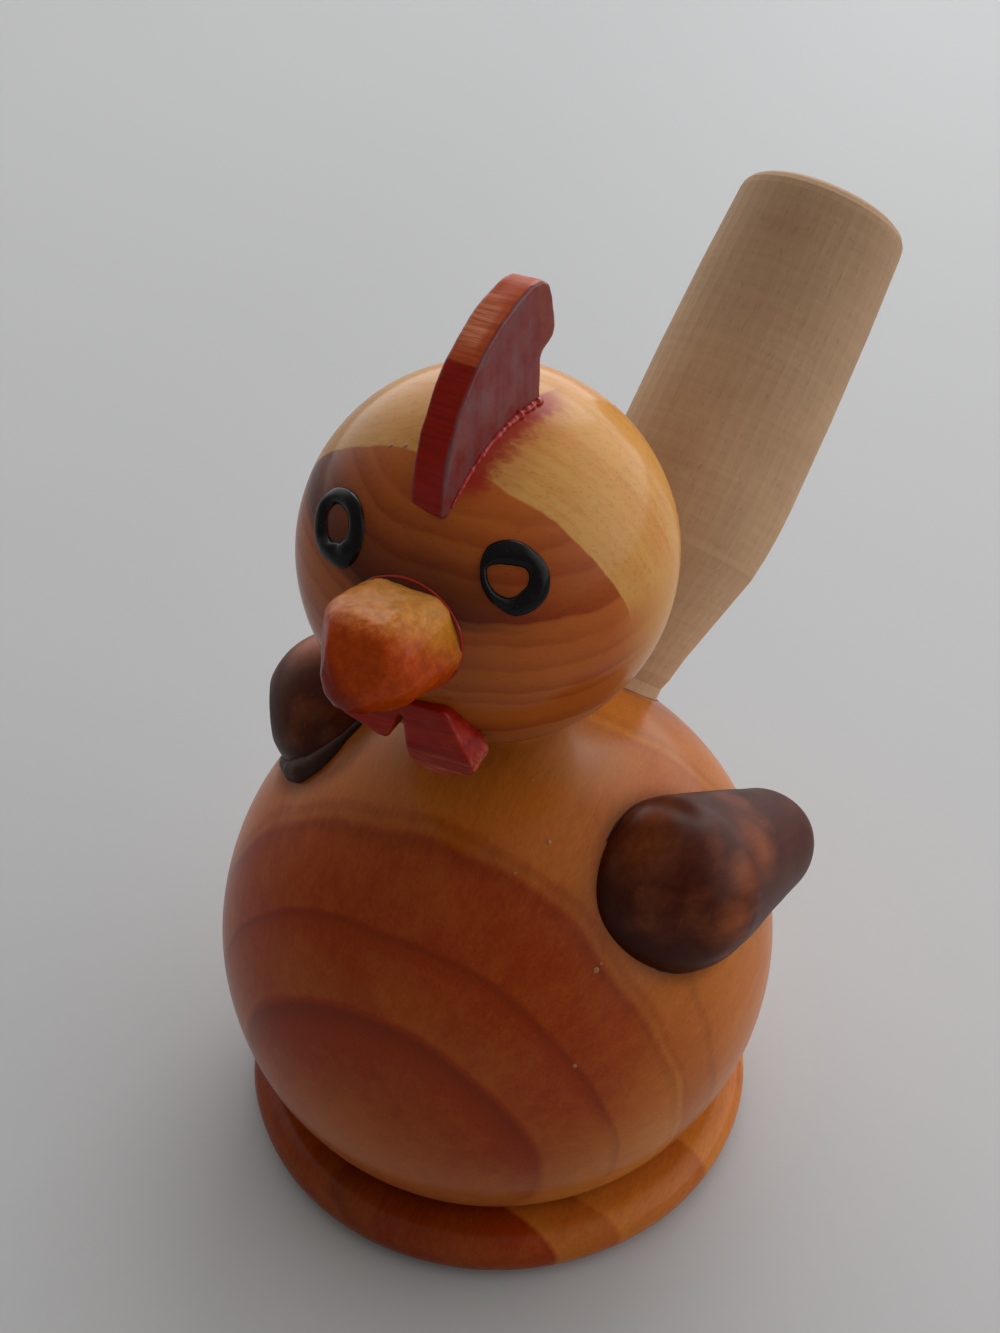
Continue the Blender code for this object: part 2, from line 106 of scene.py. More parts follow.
# The photograph's view, and the directions that it sees
VIEW_TURN = 0.7059
VIEW_FALL = 0.6369
VIEW_ROLL = -0.0076
CAMERA_SPOT = (0.07073, -0.08231, 0.13468)
CAMERA_LENS = 54
CAMERA_SENSOR = 36
SEEN_RIGHT = Vector((math.cos(VIEW_TURN), math.sin(VIEW_TURN), 0))
SEEN_AWAY = Vector((-math.sin(VIEW_TURN), math.cos(VIEW_TURN), 0))
SEEN_NEAR = SEEN_AWAY * -math.cos(VIEW_FALL) + UP * math.sin(VIEW_FALL)
SEEN_TOP = SEEN_AWAY * math.sin(VIEW_FALL) + UP * math.cos(VIEW_FALL)


# Shader arithmetic


class Socket:
    """A shader socket, on which Python's operators add Math nodes."""

    def __init__(self, paint, socket):
        self.paint = paint
        self.socket = socket

    def math(self, operation, *values):
        return self.paint.node("ShaderNodeMath", {"operation": operation}, dict(enumerate(values)))

    def __add__(self, other):
        return self.math("ADD", self, other)

    def __sub__(self, other):
        return self.math("SUBTRACT", self, other)

    def __rsub__(self, other):
        return self.math("SUBTRACT", other, self)

    def __mul__(self, other):
        return self.math("MULTIPLY", self, other)

    def __pow__(self, other):
        return self.math("POWER", self, other)

    __radd__ = __add__
    __rmul__ = __mul__

    def most(self, other):
        return self.math("MAXIMUM", self, other)

    def sway(self, amount):
        """A noise as a swing to both sides of 0."""
        return (self - 0.5) * amount


class Paint:
    """A material, or the world, whose nodes are written as expressions."""

    def __init__(self, owner):
        self.owner = owner
        owner.use_nodes = True
        self.tree = owner.node_tree
        self.tree.nodes.clear()

    def node(self, kind, settings=None, inputs=None, output=0):
        made = self.tree.nodes.new(kind)
        for name, value in (settings or {}).items():
            if name == "stops":
                self.set_stops(made.color_ramp, value)
            else:
                setattr(made, name, value)
        for name, value in (inputs or {}).items():
            if isinstance(value, Socket):
                self.tree.links.new(value.socket, made.inputs[name])
            else:
                made.inputs[name].default_value = value
        return Socket(self, made.outputs[output]) if made.outputs else None

    def set_stops(self, ramp, stops):
        while len(ramp.elements) < len(stops):
            ramp.elements.new(0.5)
        for element, (position, tone) in zip(ramp.elements, stops):
            element.position = position
            element.color = (tone, tone, tone, 1)

    def vector(self, operation, first, second, output=0):
        return self.node("ShaderNodeVectorMath", {"operation": operation},
                         {0: first, 1: tuple(second)}, output)

    def shade(self, value, amount):
        """A colour made lighter or darker, or a vector longer or shorter, by a number."""
        return self.node("ShaderNodeVectorMath", {"operation": "SCALE"}, {0: value, "Scale": amount})

    def place(self, centre=(0, 0, 0)):
        """The point being shaded, in millimetres from a centre given in metres."""
        point = self.node("ShaderNodeTexCoord", output="Object")
        return self.shade(self.vector("SUBTRACT", point, centre), 1 / MM)

    def along(self, point, axis):
        """How far a point lies along a unit vector."""
        return self.vector("DOT_PRODUCT", point, axis, "Value")

    def apart(self, point, centre):
        """How far a point lies from a centre given in millimetres."""
        return self.vector("DISTANCE", point, centre, "Value")

    def drawn(self, point, axis, lengthwise, across=1):
        """Coordinates whose Z runs along an axis, drawn out where a share is small."""
        side, other = crosswise(axis)
        return self.node("ShaderNodeCombineXYZ", {}, {
            0: self.along(point, side * across),
            1: self.along(point, other * across),
            2: self.along(point, axis * lengthwise),
        })

    def noise(self, point, scale, detail=2, roughness=0.5):
        return self.node("ShaderNodeTexNoise", {"noise_dimensions": "3D"}, {
            "Vector": point, "Scale": scale, "Detail": detail, "Roughness": roughness}, "Fac")

    def grain(self, point, axis, lengthwise, scale, detail, roughness=0.5, across=1):
        """Noise drawn out along the fibres, or across them."""
        return self.noise(self.drawn(point, axis, lengthwise, across), scale, detail, roughness)

    def cells(self, point, scale):
        """Distance to the nearest of scattered points."""
        return self.node("ShaderNodeTexVoronoi", {"feature": "F1"}, {"Vector": point, "Scale": scale},
                         "Distance")

    def fade(self, value, start, end, low=0, high=1):
        """Goes smoothly from low at start to high at end."""
        return self.node("ShaderNodeMapRange", {"interpolation_type": "SMOOTHSTEP"}, {
            "Value": value, "From Min": start, "From Max": end, "To Min": low, "To Max": high})

    def sweep(self, point, axis, start, end, low=0, high=1):
        """Goes smoothly from low to high between two distances along an axis."""
        return self.fade(self.along(point, axis), start, end, low, high)

    def steps(self, value, stops):
        """A tone read from stops, given in the value's own units."""
        start, end = stops[0][0], stops[-1][0]
        span = [((at - start) / (end - start), tone) for at, tone in stops]
        share = self.node("ShaderNodeMapRange", {}, {"Value": value, "From Min": start, "From Max": end})
        ramp = self.node("ShaderNodeValToRGB", {"stops": span}, {"Fac": share})
        return self.node("ShaderNodeSeparateColor", {}, {0: ramp})

    def near(self, point, centre, radius, soft):
        """1 round a centre given in millimetres, 0 beyond the radius."""
        return self.fade(self.apart(point, centre), radius * (1 - soft), radius, 1, 0)

    def mix(self, share, first, second):
        """A colour between two colours. The share is held between 0 and 1."""
        return self.node("ShaderNodeMix", {"data_type": "RGBA", "clamp_factor": True},
                         {0: share, 6: colour(first), 7: colour(second)}, 2)

    def bump(self, height, distance, strength):
        """Relief whose height of 1 stands for a distance in millimetres."""
        return self.node("ShaderNodeBump", {}, {
            "Height": height, "Distance": distance * MM, "Strength": strength})

    def surface(self, base, roughness, **sockets):
        """The Principled shader that ends a material."""
        inputs = {name.replace("_", " "): value for name, value in sockets.items()}
        shader = self.node("ShaderNodeBsdfPrincipled", {},
                           {"Base Color": base, "Roughness": roughness, **inputs})
        self.node("ShaderNodeOutputMaterial", {}, {"Surface": shader})
        return self.owner

    def coated(self, base, roughness, relief, coat, coat_roughness, coat_ior=1.33):
        """A dull surface under a clear coat, which alone mirrors the room."""
        return self.surface(base, roughness, Normal=relief, Coat_Weight=coat, Specular_IOR_Level=0,
                            Coat_Roughness=coat_roughness, Coat_IOR=coat_ior)


def colour(value):
    """A colour as a node takes it, or the socket as it is."""
    return value if isinstance(value, Socket) else (*value, 1)


def toned(value, factor, added=0):
    """A colour made lighter or darker in Python."""
    return tuple(min(1, part * factor + added) for part in value)


def crosswise(axis):
    """Two unit vectors across an axis."""
    side = axis.cross(Vector((0.3, 0.5, 0.8))).normalized()
    return side, axis.cross(side)


def new_paint(name):
    return Paint(bpy.data.materials.new(name))


# What a user would change


def length(name, description, default):
    return FloatProperty(name=name, description=description, default=default,
                         subtype="DISTANCE", unit="LENGTH")


def tint(name, description, default):
    return FloatVectorProperty(name=name, description=description, default=default,
                               subtype="COLOR", size=3, min=0, max=1)


class WhistleSizes(bpy.types.PropertyGroup):
    turning_steps: IntProperty(
        name="Turning steps", description="Facets round each turned piece", default=180, min=48)
    hand_wobble: length("Hand wobble", "How far turned surfaces stray from true", 0.00006)
    edge_voxel: length("Edge grain", "Mesh size used to soften the sawn pieces", 0.00014)
    glue_bead: length("Glue bead", "Radius of the glue squeezed out of the joints", 0.00024)
    enamel_rise: length("Enamel rise", "How thick the eyes' enamel stands on the head", 0.00042)


class WhistleColours(bpy.types.PropertyGroup):
    pine_light: tint("Pine, light", "Early wood of the body", (0.51, 0.165, 0.022))
    pine_dark: tint("Pine, dark", "Late wood of the body", (0.245, 0.027, 0.0012))
    head_light: tint("Head, light", "Pale wood on the crown and back of the head", (0.56, 0.275, 0.070))
    head_warm: tint("Head, warm", "Early wood of the face", (0.46, 0.118, 0.017))
    head_dark: tint("Head, dark", "Late wood of the face", (0.20, 0.023, 0.002))
    comb_red: tint("Red stain", "Comb and wattles", (0.25, 0.008, 0.002))
    # Also the pink band on the comb's front edge, partly a painted reflection
    comb_pink: tint("Worn red stain", "Comb where the stain is thin", (0.54, 0.16, 0.075))
    beak_orange: tint("Orange stain", "Beak", (0.34, 0.038, 0.001))
    beak_yellow: tint("Thin orange stain", "Beak where the stain is thin", (0.52, 0.19, 0.016))
    wing_brown: tint("Dark stain", "Wings", (0.055, 0.0085, 0.0022))
    wing_tan: tint("Worn dark stain", "Wings where wood shows through", (0.24, 0.062, 0.019))
    tail_tan: tint("Bare wood", "Tail", (0.575, 0.372, 0.222))
    tail_brown: tint("Bare wood, dark", "Flecks in the tail", (0.42, 0.235, 0.125))
    dowel_birch: tint("Dowel", "Hidden dowels", (0.58, 0.42, 0.25))
    enamel_black: tint("Enamel", "Eyes", (0.004, 0.003, 0.003))
    floor_grey: tint("Floor", "The table top", (0.47, 0.47, 0.475))


class WhistleLight(bpy.types.PropertyGroup):
    room: FloatProperty(name="Room", description="Light from in front of the bird", default=0.27)
    sky: FloatProperty(name="Sky", description="Soft light from behind and above", default=2.15)
    window: FloatProperty(name="Window", description="Power of the window behind the bird",
                          default=1.6, unit="POWER")
    backdrop: FloatProperty(name="Backdrop", description="Paleness seen past the floor", default=0.52)


# Mesh making


def keep(mesh, name, finish, *nodes, slot=None):
    """Puts a finished mesh in the scene as a piece that rides on the whistle."""
    piece = bpy.data.objects.new(name, mesh)
    bpy.context.scene.collection.objects.link(piece)
    mesh.materials.clear()
    mesh.materials.append(finish)
    if nodes:
        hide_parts(*nodes)
    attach(piece, "root")


def smooth(mesh, degrees=35):
    mesh.shade_smooth()
    mesh.set_sharp_from_angle(angle=math.radians(degrees))
    return mesh


def frame_on(axis, origin):
    """A frame whose Z runs along an axis."""
    return Matrix.Translation(origin) @ axis.to_track_quat("Z", "Y").to_matrix().to_4x4()


def spread(start, end, count):
    """Evenly spaced numbers, with both ends among them."""
    return [start + (end - start) * index / (count - 1) for index in range(count)]


def arc(centre, height, radius, start, end, count):
    """Points on a circle as radius and height, with angles in degrees."""
    return [(centre + radius * math.cos(angle), height + radius * math.sin(angle))
            for angle in map(math.radians, spread(start, end, count + 1))]


def between(start, end, count):
    """Points that part a straight line into a count of lengths, without its ends."""
    return [(start[0] + (end[0] - start[0]) * index / count,
             start[1] + (end[1] - start[1]) * index / count) for index in range(1, count)]


def bow(centre, first, second, radius, angles):
    """Points on a circle through two unit vectors, at angles in degrees."""
    return [centre + (first * math.cos(turn) + second * math.sin(turn)) * radius
            for turn in map(math.radians, angles)]


def ring_points(centre, axis, radius, count):
    """Points all round a circle across an axis."""
    return bow(centre, *crosswise(axis), radius, spread(0, 360, count + 1)[:-1])


def new_mesh(name, points, faces):
    mesh = bpy.data.meshes.new(name)
    mesh.from_pydata(points, [], faces)
    return mesh


def lathe(name, profile, steps, place):
    """A mesh turned from a half profile, given from top to bottom."""
    points = []
    faces = []
    rows = []
    for radius, height in profile:
        if radius < 1e-7:
            rows.append([len(points)] * steps)
            points.append(place @ Vector((0, 0, height)))
            continue
        rows.append(list(range(len(points), len(points) + steps)))
        for step in range(steps):
            angle = 2 * math.pi * step / steps
            points.append(place @ Vector((radius * math.cos(angle), radius * math.sin(angle), height)))
    for upper, lower in zip(rows, rows[1:]):
        for step in range(steps):
            after = (step + 1) % steps
            corners = [upper[step], lower[step], lower[after], upper[after]]
            faces.append(list(dict.fromkeys(corners)))
    mesh = new_mesh(name, points, faces)
    mesh.validate()
    return mesh


def tube(name, centres, radii, sides=10, closed=True):
    """A bead of varying thickness laid along a line of points."""
    count = len(centres)
    points = []
    faces = []
    for index, (centre, radius) in enumerate(zip(centres, radii)):
        before = centres[index - 1] if closed or index else centre
        after = centres[(index + 1) % count] if closed or index + 1 < count else centre
        along = (after - before).normalized()
        side = along.cross(UP if abs(along.z) < 0.9 else Vector((1, 0, 0))).normalized()
        points += bow(centre, side, along.cross(side), radius, spread(0, 360, sides + 1)[:-1])
    for index in range(count if closed else count - 1):
        here = index * sides
        there = (index + 1) % count * sides
        for turn in range(sides):
            after = (turn + 1) % sides
            faces.append((here + turn, here + after, there + after, there + turn))
    if not closed:
        faces.append(tuple(range(sides))[::-1])
        faces.append(tuple(range((count - 1) * sides, count * sides)))
    return outward(new_mesh(name, points, faces))


def worked(mesh, change):
    """The mesh after a change made on its bmesh."""
    work = bmesh.new()
    work.from_mesh(mesh)
    change(work)
    work.to_mesh(mesh)
    work.free()
    return mesh


def outward(mesh):
    """The mesh with all its faces turned outward."""
    return worked(mesh, lambda work: bmesh.ops.recalc_face_normals(work, faces=work.faces))


def uneven(mesh, amount, size, shift=0):
    """Lets a surface wander in and out by an amount, in waves of a size."""
    offset = Vector((shift, shift, shift))
    moves = [vertex.normal * noise.noise(vertex.co / size + offset) * amount
             for vertex in mesh.vertices]
    for vertex, move in zip(mesh.vertices, moves):
        vertex.co += move
    mesh.update()
    return mesh


def flatten(mesh, origin, normal, distance, share):
    """Rubs a flat on a mesh where it lies beyond a distance from an origin."""
    for vertex in mesh.vertices:
        beyond = (vertex.co - origin).dot(normal) - distance
        if beyond > 0:
            vertex.co -= normal * beyond * share
    mesh.update()


def pull(mesh, centre, radius, shift):
    """Draws a mesh out round a centre, less with distance."""
    for vertex in mesh.vertices:
        share = 1 - (vertex.co - centre).length / radius
        if share > 0:
            vertex.co += shift * share * share * (3 - 2 * share)
    mesh.update()


def settled(mesh, kind, settings, *more):
    """The mesh after modifiers, each given as a type and its settings."""
    carrier = bpy.data.objects.new("carrier", mesh)
    bpy.context.scene.collection.objects.link(carrier)
    for each, values in ((kind, settings), *more):
        modifier = carrier.modifiers.new(each, each)
        for name, value in values.items():
            setattr(modifier, name, value)
    graph = bpy.context.evaluated_depsgraph_get()
    result = bpy.data.meshes.new_from_object(carrier.evaluated_get(graph))
    bpy.data.objects.remove(carrier)
    return result


def carved(mesh, cutter):
    """The mesh less the cutter's mesh."""
    tool = bpy.data.objects.new("tool", cutter)
    bpy.context.scene.collection.objects.link(tool)
    result = settled(mesh, "BOOLEAN", {"operation": "DIFFERENCE", "solver": "EXACT", "object": tool})
    bpy.data.objects.remove(tool)
    return result


def softened(node, voxel):
    """A CAD node's mesh with its sawn edges rubbed round."""
    copy = worked(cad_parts[node].data.copy(),
                  lambda work: bmesh.ops.remove_doubles(work, verts=work.verts, dist=1e-7))
    return settled(copy, "REMESH", {"mode": "VOXEL", "voxel_size": voxel},
                   ("SMOOTH", {"factor": 0.5, "iterations": 9}))


def on_head(azimuth, elevation):
    """Direction from the head's centre, azimuth from the face towards its left."""
    turn = HEAD_TURN + azimuth
    level = math.cos(elevation)
    return Vector((math.sin(turn) * level, -math.cos(turn) * level, math.sin(elevation)))


def seen(right, top, near=0):
    """A vector given as the photograph shows it."""
    return SEEN_RIGHT * right + SEEN_TOP * top + SEEN_NEAR * near


# Finishes

BEAK_AXIS = on_head(0, BEAK_TILT)
BEAK_SEAT = math.sqrt(HEAD_RADIUS ** 2 - BEAK_RADIUS ** 2)

# Rings: distance from the pith or along an axis in mm, and how dark the wood is there
BODY_RINGS = ((0, 0.6), (8, 0.8), (12, 0.92), (15, 1.25), (15.8, 0.82), (19.6, 0.92), (20.7, 1.1),
              (21.1, 0.92), (23.4, 0.92), (24.6, 0.94), (25.3, 0), (32, 0))
BODY_LINES = ((0, 0), (14.2, 0), (15.3, 0.2), (15.7, 0), (20.3, 0), (20.8, 1), (21, 0), (24, 0),
              (24.5, 0.8), (24.7, 0), (25, 0.6), (25.2, 0), (26.4, 0), (26.7, 0.9), (26.9, 0),
              (28.6, 0), (28.8, 0.6), (29, 0), (32, 0))
FOOT_RINGS = ((-30, 0.8), (-15.2, 1), (-14.8, 0.35), (-10, 0.55), (-9.6, 0.2), (2, 0.55), (2.4, 0.1),
              (15, 0.45), (15.4, 0.1), (30, 0.5))
# Below -8.8 the face stops stay dark: partly late wood, partly painted shade where the head meets the
# neck
FACE_RINGS = ((-17, 1), (-9, 0.8), (-8.8, 0.45), (-5.3, 0.4), (-5.1, 0.8), (-3.2, 0.3), (-0.9, 0.26),
              (-0.7, 0.55), (0.3, 0.26), (0.5, 0.62), (1.6, 0.3), (2.7, 0.26), (2.9, 0.52), (3.9, 0.3),
              (4.9, 0.3), (5.1, 0.62), (6.2, 0.36), (6.85, 0.36), (7.05, 1), (8.2, 0.74), (9.6, 0.56),
              (9.8, 0.84), (11, 0.46), (11.5, 0.4), (11.7, 0.72), (12.8, 0.3), (13, 0.52), (14.2, 0.14),
              (17, 0.1))
CROWN_RINGS = ((-17, 0.2), (-12.1, 0.05), (-11.9, 0.22), (-8.5, 0.05), (-4.1, 0), (-3.9, 0.12), (0, 0),
               (17, 0))

# Colours that come in only at an edge, or where stain ran, pooled or wore away, and colours of painted
# light, shade and reflection
# Painted light: the pale colour of the ball's lower edge, as if lit from the floor
PINE_BOUNCE_LIGHT = (0.42, 0.20, 0.085)
# Painted reflection: a pale patch on the ball's shoulder beside the neck
PINE_SHOULDER_REFLECTION = (0.53, 0.27, 0.14)
FACE_BLOOM = (0.30, 0.125, 0.060)
# Partly stain run from the wings and partly painted contact shadow round them
BROWN_RUN_AND_SHADOW = (0.10, 0.024, 0.007)
RED_RUN = (0.30, 0.016, 0.008)
COMB_EDGE_RED = (0.25, 0.007, 0.001)
COMB_EDGE_ORANGE = (0.40, 0.060, 0.012)
# Painted reflection: the purple haze on the comb's sides
COMB_SIDE_REFLECTION = (0.135, 0.040, 0.040)
COMB_BACK = (0.20, 0.030, 0.010)
BEAK_POOL = (0.15, 0.008, 0.002)
BEAK_CREST = (0.60, 0.26, 0.07)
WING_SCRATCH = (0.28, 0.16, 0.13)
ENAMEL_DUST = (0.05, 0.045, 0.04)

# Wing stain that ran onto the ball, with painted contact shadow round the wings: place from the ball's
# centre in mm, reach, depth
STAIN_AND_SHADOW_BLEED = (((20.6, 0.5, 17.9), 8.3, 0.55), ((-16.9, -3.1, 21.2), 8.3, 0.55),
               ((-13.6, -8.4, 22.2), 6.6, 0.6))


def varnished_pine(colours):
    """Body: broad rings round a bull's eye low on the breast, under clear varnish."""
    paint = new_paint("varnished pine")
    point = paint.place(BALL + Vector((-0.4, -0.5, 1.5)) * MM)
    pith = Vector((0.268, -0.939, -0.215)).normalized()
    side, other = crosswise(pith)
    drift = paint.noise(point, 0.07, 1) * 1.6 + paint.noise(point, 0.45) * 0.16
    across = paint.along(point, side)
    down = paint.along(point, other)
    radius = (across * across + down * down) ** 0.5 + drift - 0.86
    broad = paint.steps(radius, BODY_RINGS)
    lines = paint.steps(radius, BODY_LINES)
    beyond = paint.fade(radius, 24.8, 25.2) * paint.fade(radius, 25.2, 30.5, 0.5, 0.1)
    # Painted light: the rings fade towards the lower right, the lit side; they also fade towards the
    # back
    paler_where_lit = (paint.sweep(point, SEEN_RIGHT * 0.75 - UP * 0.66, 0, 20, 1, 0.1)
             * paint.sweep(point, pith, -9, 2, 0.36))
    flat_rings = paint.steps(paint.along(point, BACK) + drift, FOOT_RINGS)
    on_foot = paint.sweep(point, UP, -18, -18.3)
    off_foot = 1 - on_foot
    # Painted shade: the foot darker towards the left
    foot_shade = paint.sweep(point, SEEN_RIGHT, -12, 6, 0.72) * on_foot + off_foot
    late = flat_rings * on_foot + (broad * paler_where_lit + beyond) * off_foot
    fibres = paint.grain(point, pith, 0.06, 2.6, 4, 0.65)
    streaks = paint.grain(point, pith, 0.02, 0.9, 2)
    blotch = paint.noise(point, 0.11, 2, 0.6)
    tone = late + fibres.sway(0.26) + streaks.sway(0.26) + blotch.sway(0.4)
    wood = paint.mix(tone, colours.pine_light, colours.pine_dark)
    pores = paint.fade(paint.cells(paint.drawn(point, pith, 0.35), 1.9), 0.10, 0.22, 0.86)
    flecks = paint.fade(paint.grain(point, pith, 0.2, 5, 2), 0.3, 0.7, 0.93, 1.07)
    dark_late = paint.fade(broad * paler_where_lit, 1, 1.3, 1, 0.72)
    # Painted light: the lower ball is lighter and paler, as if lit from the floor
    low = paint.along(point, UP * 0.85 + SEEN_RIGHT * 0.25)
    lift = (paint.fade(low, -1, -13, 0, 0.45) + paint.fade(low, -12.5, -18.5, 0, 0.75)) * off_foot
    wood = paint.shade(wood, pores * flecks * dark_late * foot_shade
                       * (1 - lines * off_foot * 0.2) * (1 + lift * 0.5))
    wood = paint.mix(lift * 0.45, wood, PINE_BOUNCE_LIGHT)
    # Painted reflection: a pale patch on the shoulder beside the neck
    wood = paint.mix(paint.near(point, (9.9, 2.2, 24.5), 7, 1) * 0.4, wood, PINE_SHOULDER_REFLECTION)
    # Dark round the wings: partly wing stain run onto the ball, partly painted contact shadow
    from_ball = paint.place(BALL)
    bleed_and_shadow = 0
    for spot, extent, depth in STAIN_AND_SHADOW_BLEED:
        run = paint.apart(from_ball, spot) + blotch.sway(1.5)
        bleed_and_shadow = paint.fade(run, extent - 0.8, extent + 1.3, depth, 0).most(bleed_and_shadow)
    wood = paint.mix(bleed_and_shadow, wood, BROWN_RUN_AND_SHADOW)
    relief = paint.bump(fibres * 0.5 + lines * 0.5, 0.012, 0.35)
    return paint.coated(wood, 0.30 + fibres * 0.12, relief, 0.75 - bleed_and_shadow * 0.6, 0.22, 1.3)


def varnished_head_pine(colours):
    """Head: pale crown and back, and a face of close rings dark above each line."""
    paint = new_paint("varnished head pine")
    point = paint.place(HEAD)
    fibre = Vector((0.86, 0.50, -0.10)).normalized()
    parting = Vector((0.15, -0.918, -0.368))
    wave = paint.noise(point, 0.16)
    fine = paint.noise(point, 0.9)
    fibres = paint.grain(point, fibre, 0.1, 3, 4, 0.65)
    speckle = paint.grain(point, fibre, 0.4, 2.2, 5, 0.75)
    blotch = paint.noise(point, 0.15, 2, 0.6)
    height = paint.along(point, Vector((0.2, -0.1, 1))) + wave.sway(1.5) + fine.sway(0.25)
    right = paint.along(point, SEEN_RIGHT)

    # Painted light: the face's rings are lighter towards the right, the lit side
    sunny = paint.fade(right, 2, 12) * paint.fade(height, 4.9, 5.1)
    tone = paint.steps(height, FACE_RINGS) * (1 - sunny * 0.35) + fibres.sway(0.3) + blotch.sway(0.3)
    face = paint.mix(tone, colours.head_warm, colours.head_dark)
    face = paint.mix(paint.fade(height, -3, -8, 0, 0.35), face, FACE_BLOOM)
    # Painted shade: the face darker on the left, above the beak
    pooled_and_shaded = paint.fade(right, 6, -4) * paint.fade(height, 13.5, 7.5)
    face = paint.shade(face, 1 - paint.fade(height, 6.4, 5.6, 1, 0).most(0.3) * pooled_and_shaded * 0.66)
    # Painted shade: the face darker towards the bottom, where the head meets the neck
    face = paint.shade(face, paint.fade(height, -7.5, -12.5, 1, 0.45))

    edge = paint.along(point, parting) + wave.sway(0.8) + fine.sway(0.3)
    layers = paint.grain(point, parting, 1, 1.3, 4, 0.6, across=0.1)
    tone = (paint.steps(edge, CROWN_RINGS) + 0.1 + fibres.sway(0.5) + layers.sway(1.1)
            + blotch.sway(0.5))
    crown = paint.mix(tone, colours.head_light, colours.head_warm)
    # Painted shade: the crown darker towards the left; the speckle is grain
    crown = paint.shade(crown, paint.fade(speckle, 0.33, 0.50, 0.84)
                        * paint.fade(right, -12, -5, 0.78))

    front = paint.fade(edge, 3.2, 3.42).most(paint.fade(height, 6.9, 3.6) * paint.fade(edge, -9, -1))
    # Painted light: the head's right rim turns pale
    rim = paint.fade(right, 9.5, 15, 0, 0.85)
    wood = paint.mix(front, crown, paint.mix(rim, face, colours.head_light))
    beside = paint.along(point, COMB_SIDE)
    seam = paint.along(point, Vector((0, -0.42, 0.90))) + wave.sway(2)
    strong = paint.fade(beside + speckle.sway(2) + fine.sway(2), 6.2, 8.4, 0.95, 0)
    faint = paint.fade(beside + wave.sway(3), 6.5, 10.5, 0.3, 0)
    bled = (strong.most(faint) * paint.fade(seam, 11.5, 14) * paint.fade(beside, 5, 5.4)
            * paint.sweep(point, UP, 11, 12.6))
    wood = paint.mix(bled, wood, RED_RUN)
    pores = paint.fade(paint.cells(paint.drawn(point, fibre, 0.35), 2.3), 0.08, 0.20, 0.80)
    relief = paint.bump(fibres * 0.6 + speckle * 0.4, 0.014, 0.4)
    return paint.coated(paint.shade(wood, pores), 0.30 + fibres * 0.14, relief, 0.65, 0.17)


def red_stain(paint, colours, point, grain):
    """Red stain drawn into the grain, for the comb and the wattles."""
    fibres = paint.grain(point, grain, 0.05, 2.4, 4, 0.7)
    bands = paint.grain(point, grain, 0.02, 0.9, 2, 0.6)
    worn = fibres.sway(0.35) + paint.noise(point, 0.35, 3, 0.6).sway(0.3)
    red = paint.mix(worn, colours.comb_red, colours.comb_pink)
    red = paint.shade(red, paint.fade(bands, 0.34, 0.64, 0.74, 1.10)
                      * paint.fade(fibres, 0.25, 0.75, 0.90, 1.10))
    return red, fibres, bands


def red_stain_comb(colours):
    """Comb: dusky sides and an end-grain front edge, thin and pink near the top; both partly painted
    reflection.
    """
    paint = new_paint("red stain comb")
    low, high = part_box("comb")
    point = paint.place((low + high) / 2)
    red, fibres, bands = red_stain(paint, colours, point, Vector((0, 0.10, 1)).normalized())
    aside = paint.along(point, COMB_SIDE)
    edge = paint.fade(aside, 1.5, 1.25) * paint.fade(aside, -1.5, -1.25)
    ripple = paint.grain(point, COMB_SIDE, 0.12, 1.5, 3, 0.6)
    strokes = paint.grain(point, COMB_SIDE, 0.06, 3.2, 3, 0.7)
    cloud = paint.noise(point, 0.55, 3, 0.6)
    level = paint.along(paint.place(HEAD), UP) + ripple.sway(1.1)
    # The pink band along the front edge near the top: partly worn stain, partly painted reflection
    pink = paint.fade(level, 21.3, 22) * paint.fade(level, 24.2, 23.5) * paint.fade(aside, 1, 0.3)
    end_grain = paint.mix(paint.fade(level, 20.6, 20.9), COMB_EDGE_RED, COMB_EDGE_ORANGE)
    end_grain = paint.mix(pink * paint.fade(strokes, 0.36, 0.56, 0.45), end_grain, colours.comb_pink)
    end_grain = paint.shade(end_grain, paint.fade(strokes, 0.30, 0.70, 0.78, 1.14))
    # Painted reflection: purple haze mixed into the comb's red sides
    dusk = paint.mix(paint.fade(bands * 0.5 + cloud * 0.5, 0.38, 0.60, 0.35), red, COMB_SIDE_REFLECTION)
    back_edge = paint.fade(paint.along(point, BACK) + cloud.sway(1.2), 4, 6.2)
    dusk = paint.mix(back_edge * 0.7, dusk, COMB_BACK)
    dusk = paint.shade(dusk, paint.fade(cloud, 0.30, 0.70, 0.82, 1.12))
    relief = paint.bump(fibres + ripple * 0.5, 0.03, 0.5)
    return paint.coated(paint.mix(edge, dusk, end_grain), 0.34 + fibres * 0.16, relief,
                        0.85 - edge * 0.45, 0.16, 1.4)


def red_stain_wattles(colours):
    """Wattles: deep red, with lighter grain lines near the lower ends."""
    paint = new_paint("red stain wattles")
    low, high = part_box("wattles")
    point = paint.place((low + high) / 2)
    red, fibres, bands = red_stain(paint, colours, point, Vector((0.96, 0.27, 0)))
    low_end = paint.fade(paint.along(point, UP) + bands.sway(1.5), -0.6, -2.4)
    red = paint.mix(low_end * paint.fade(fibres, 0.45, 0.65, 0.1, 0.6), red, colours.comb_pink)
    return paint.coated(red, 0.34 + fibres * 0.16, paint.bump(fibres, 0.02, 0.5), 0.55, 0.18)


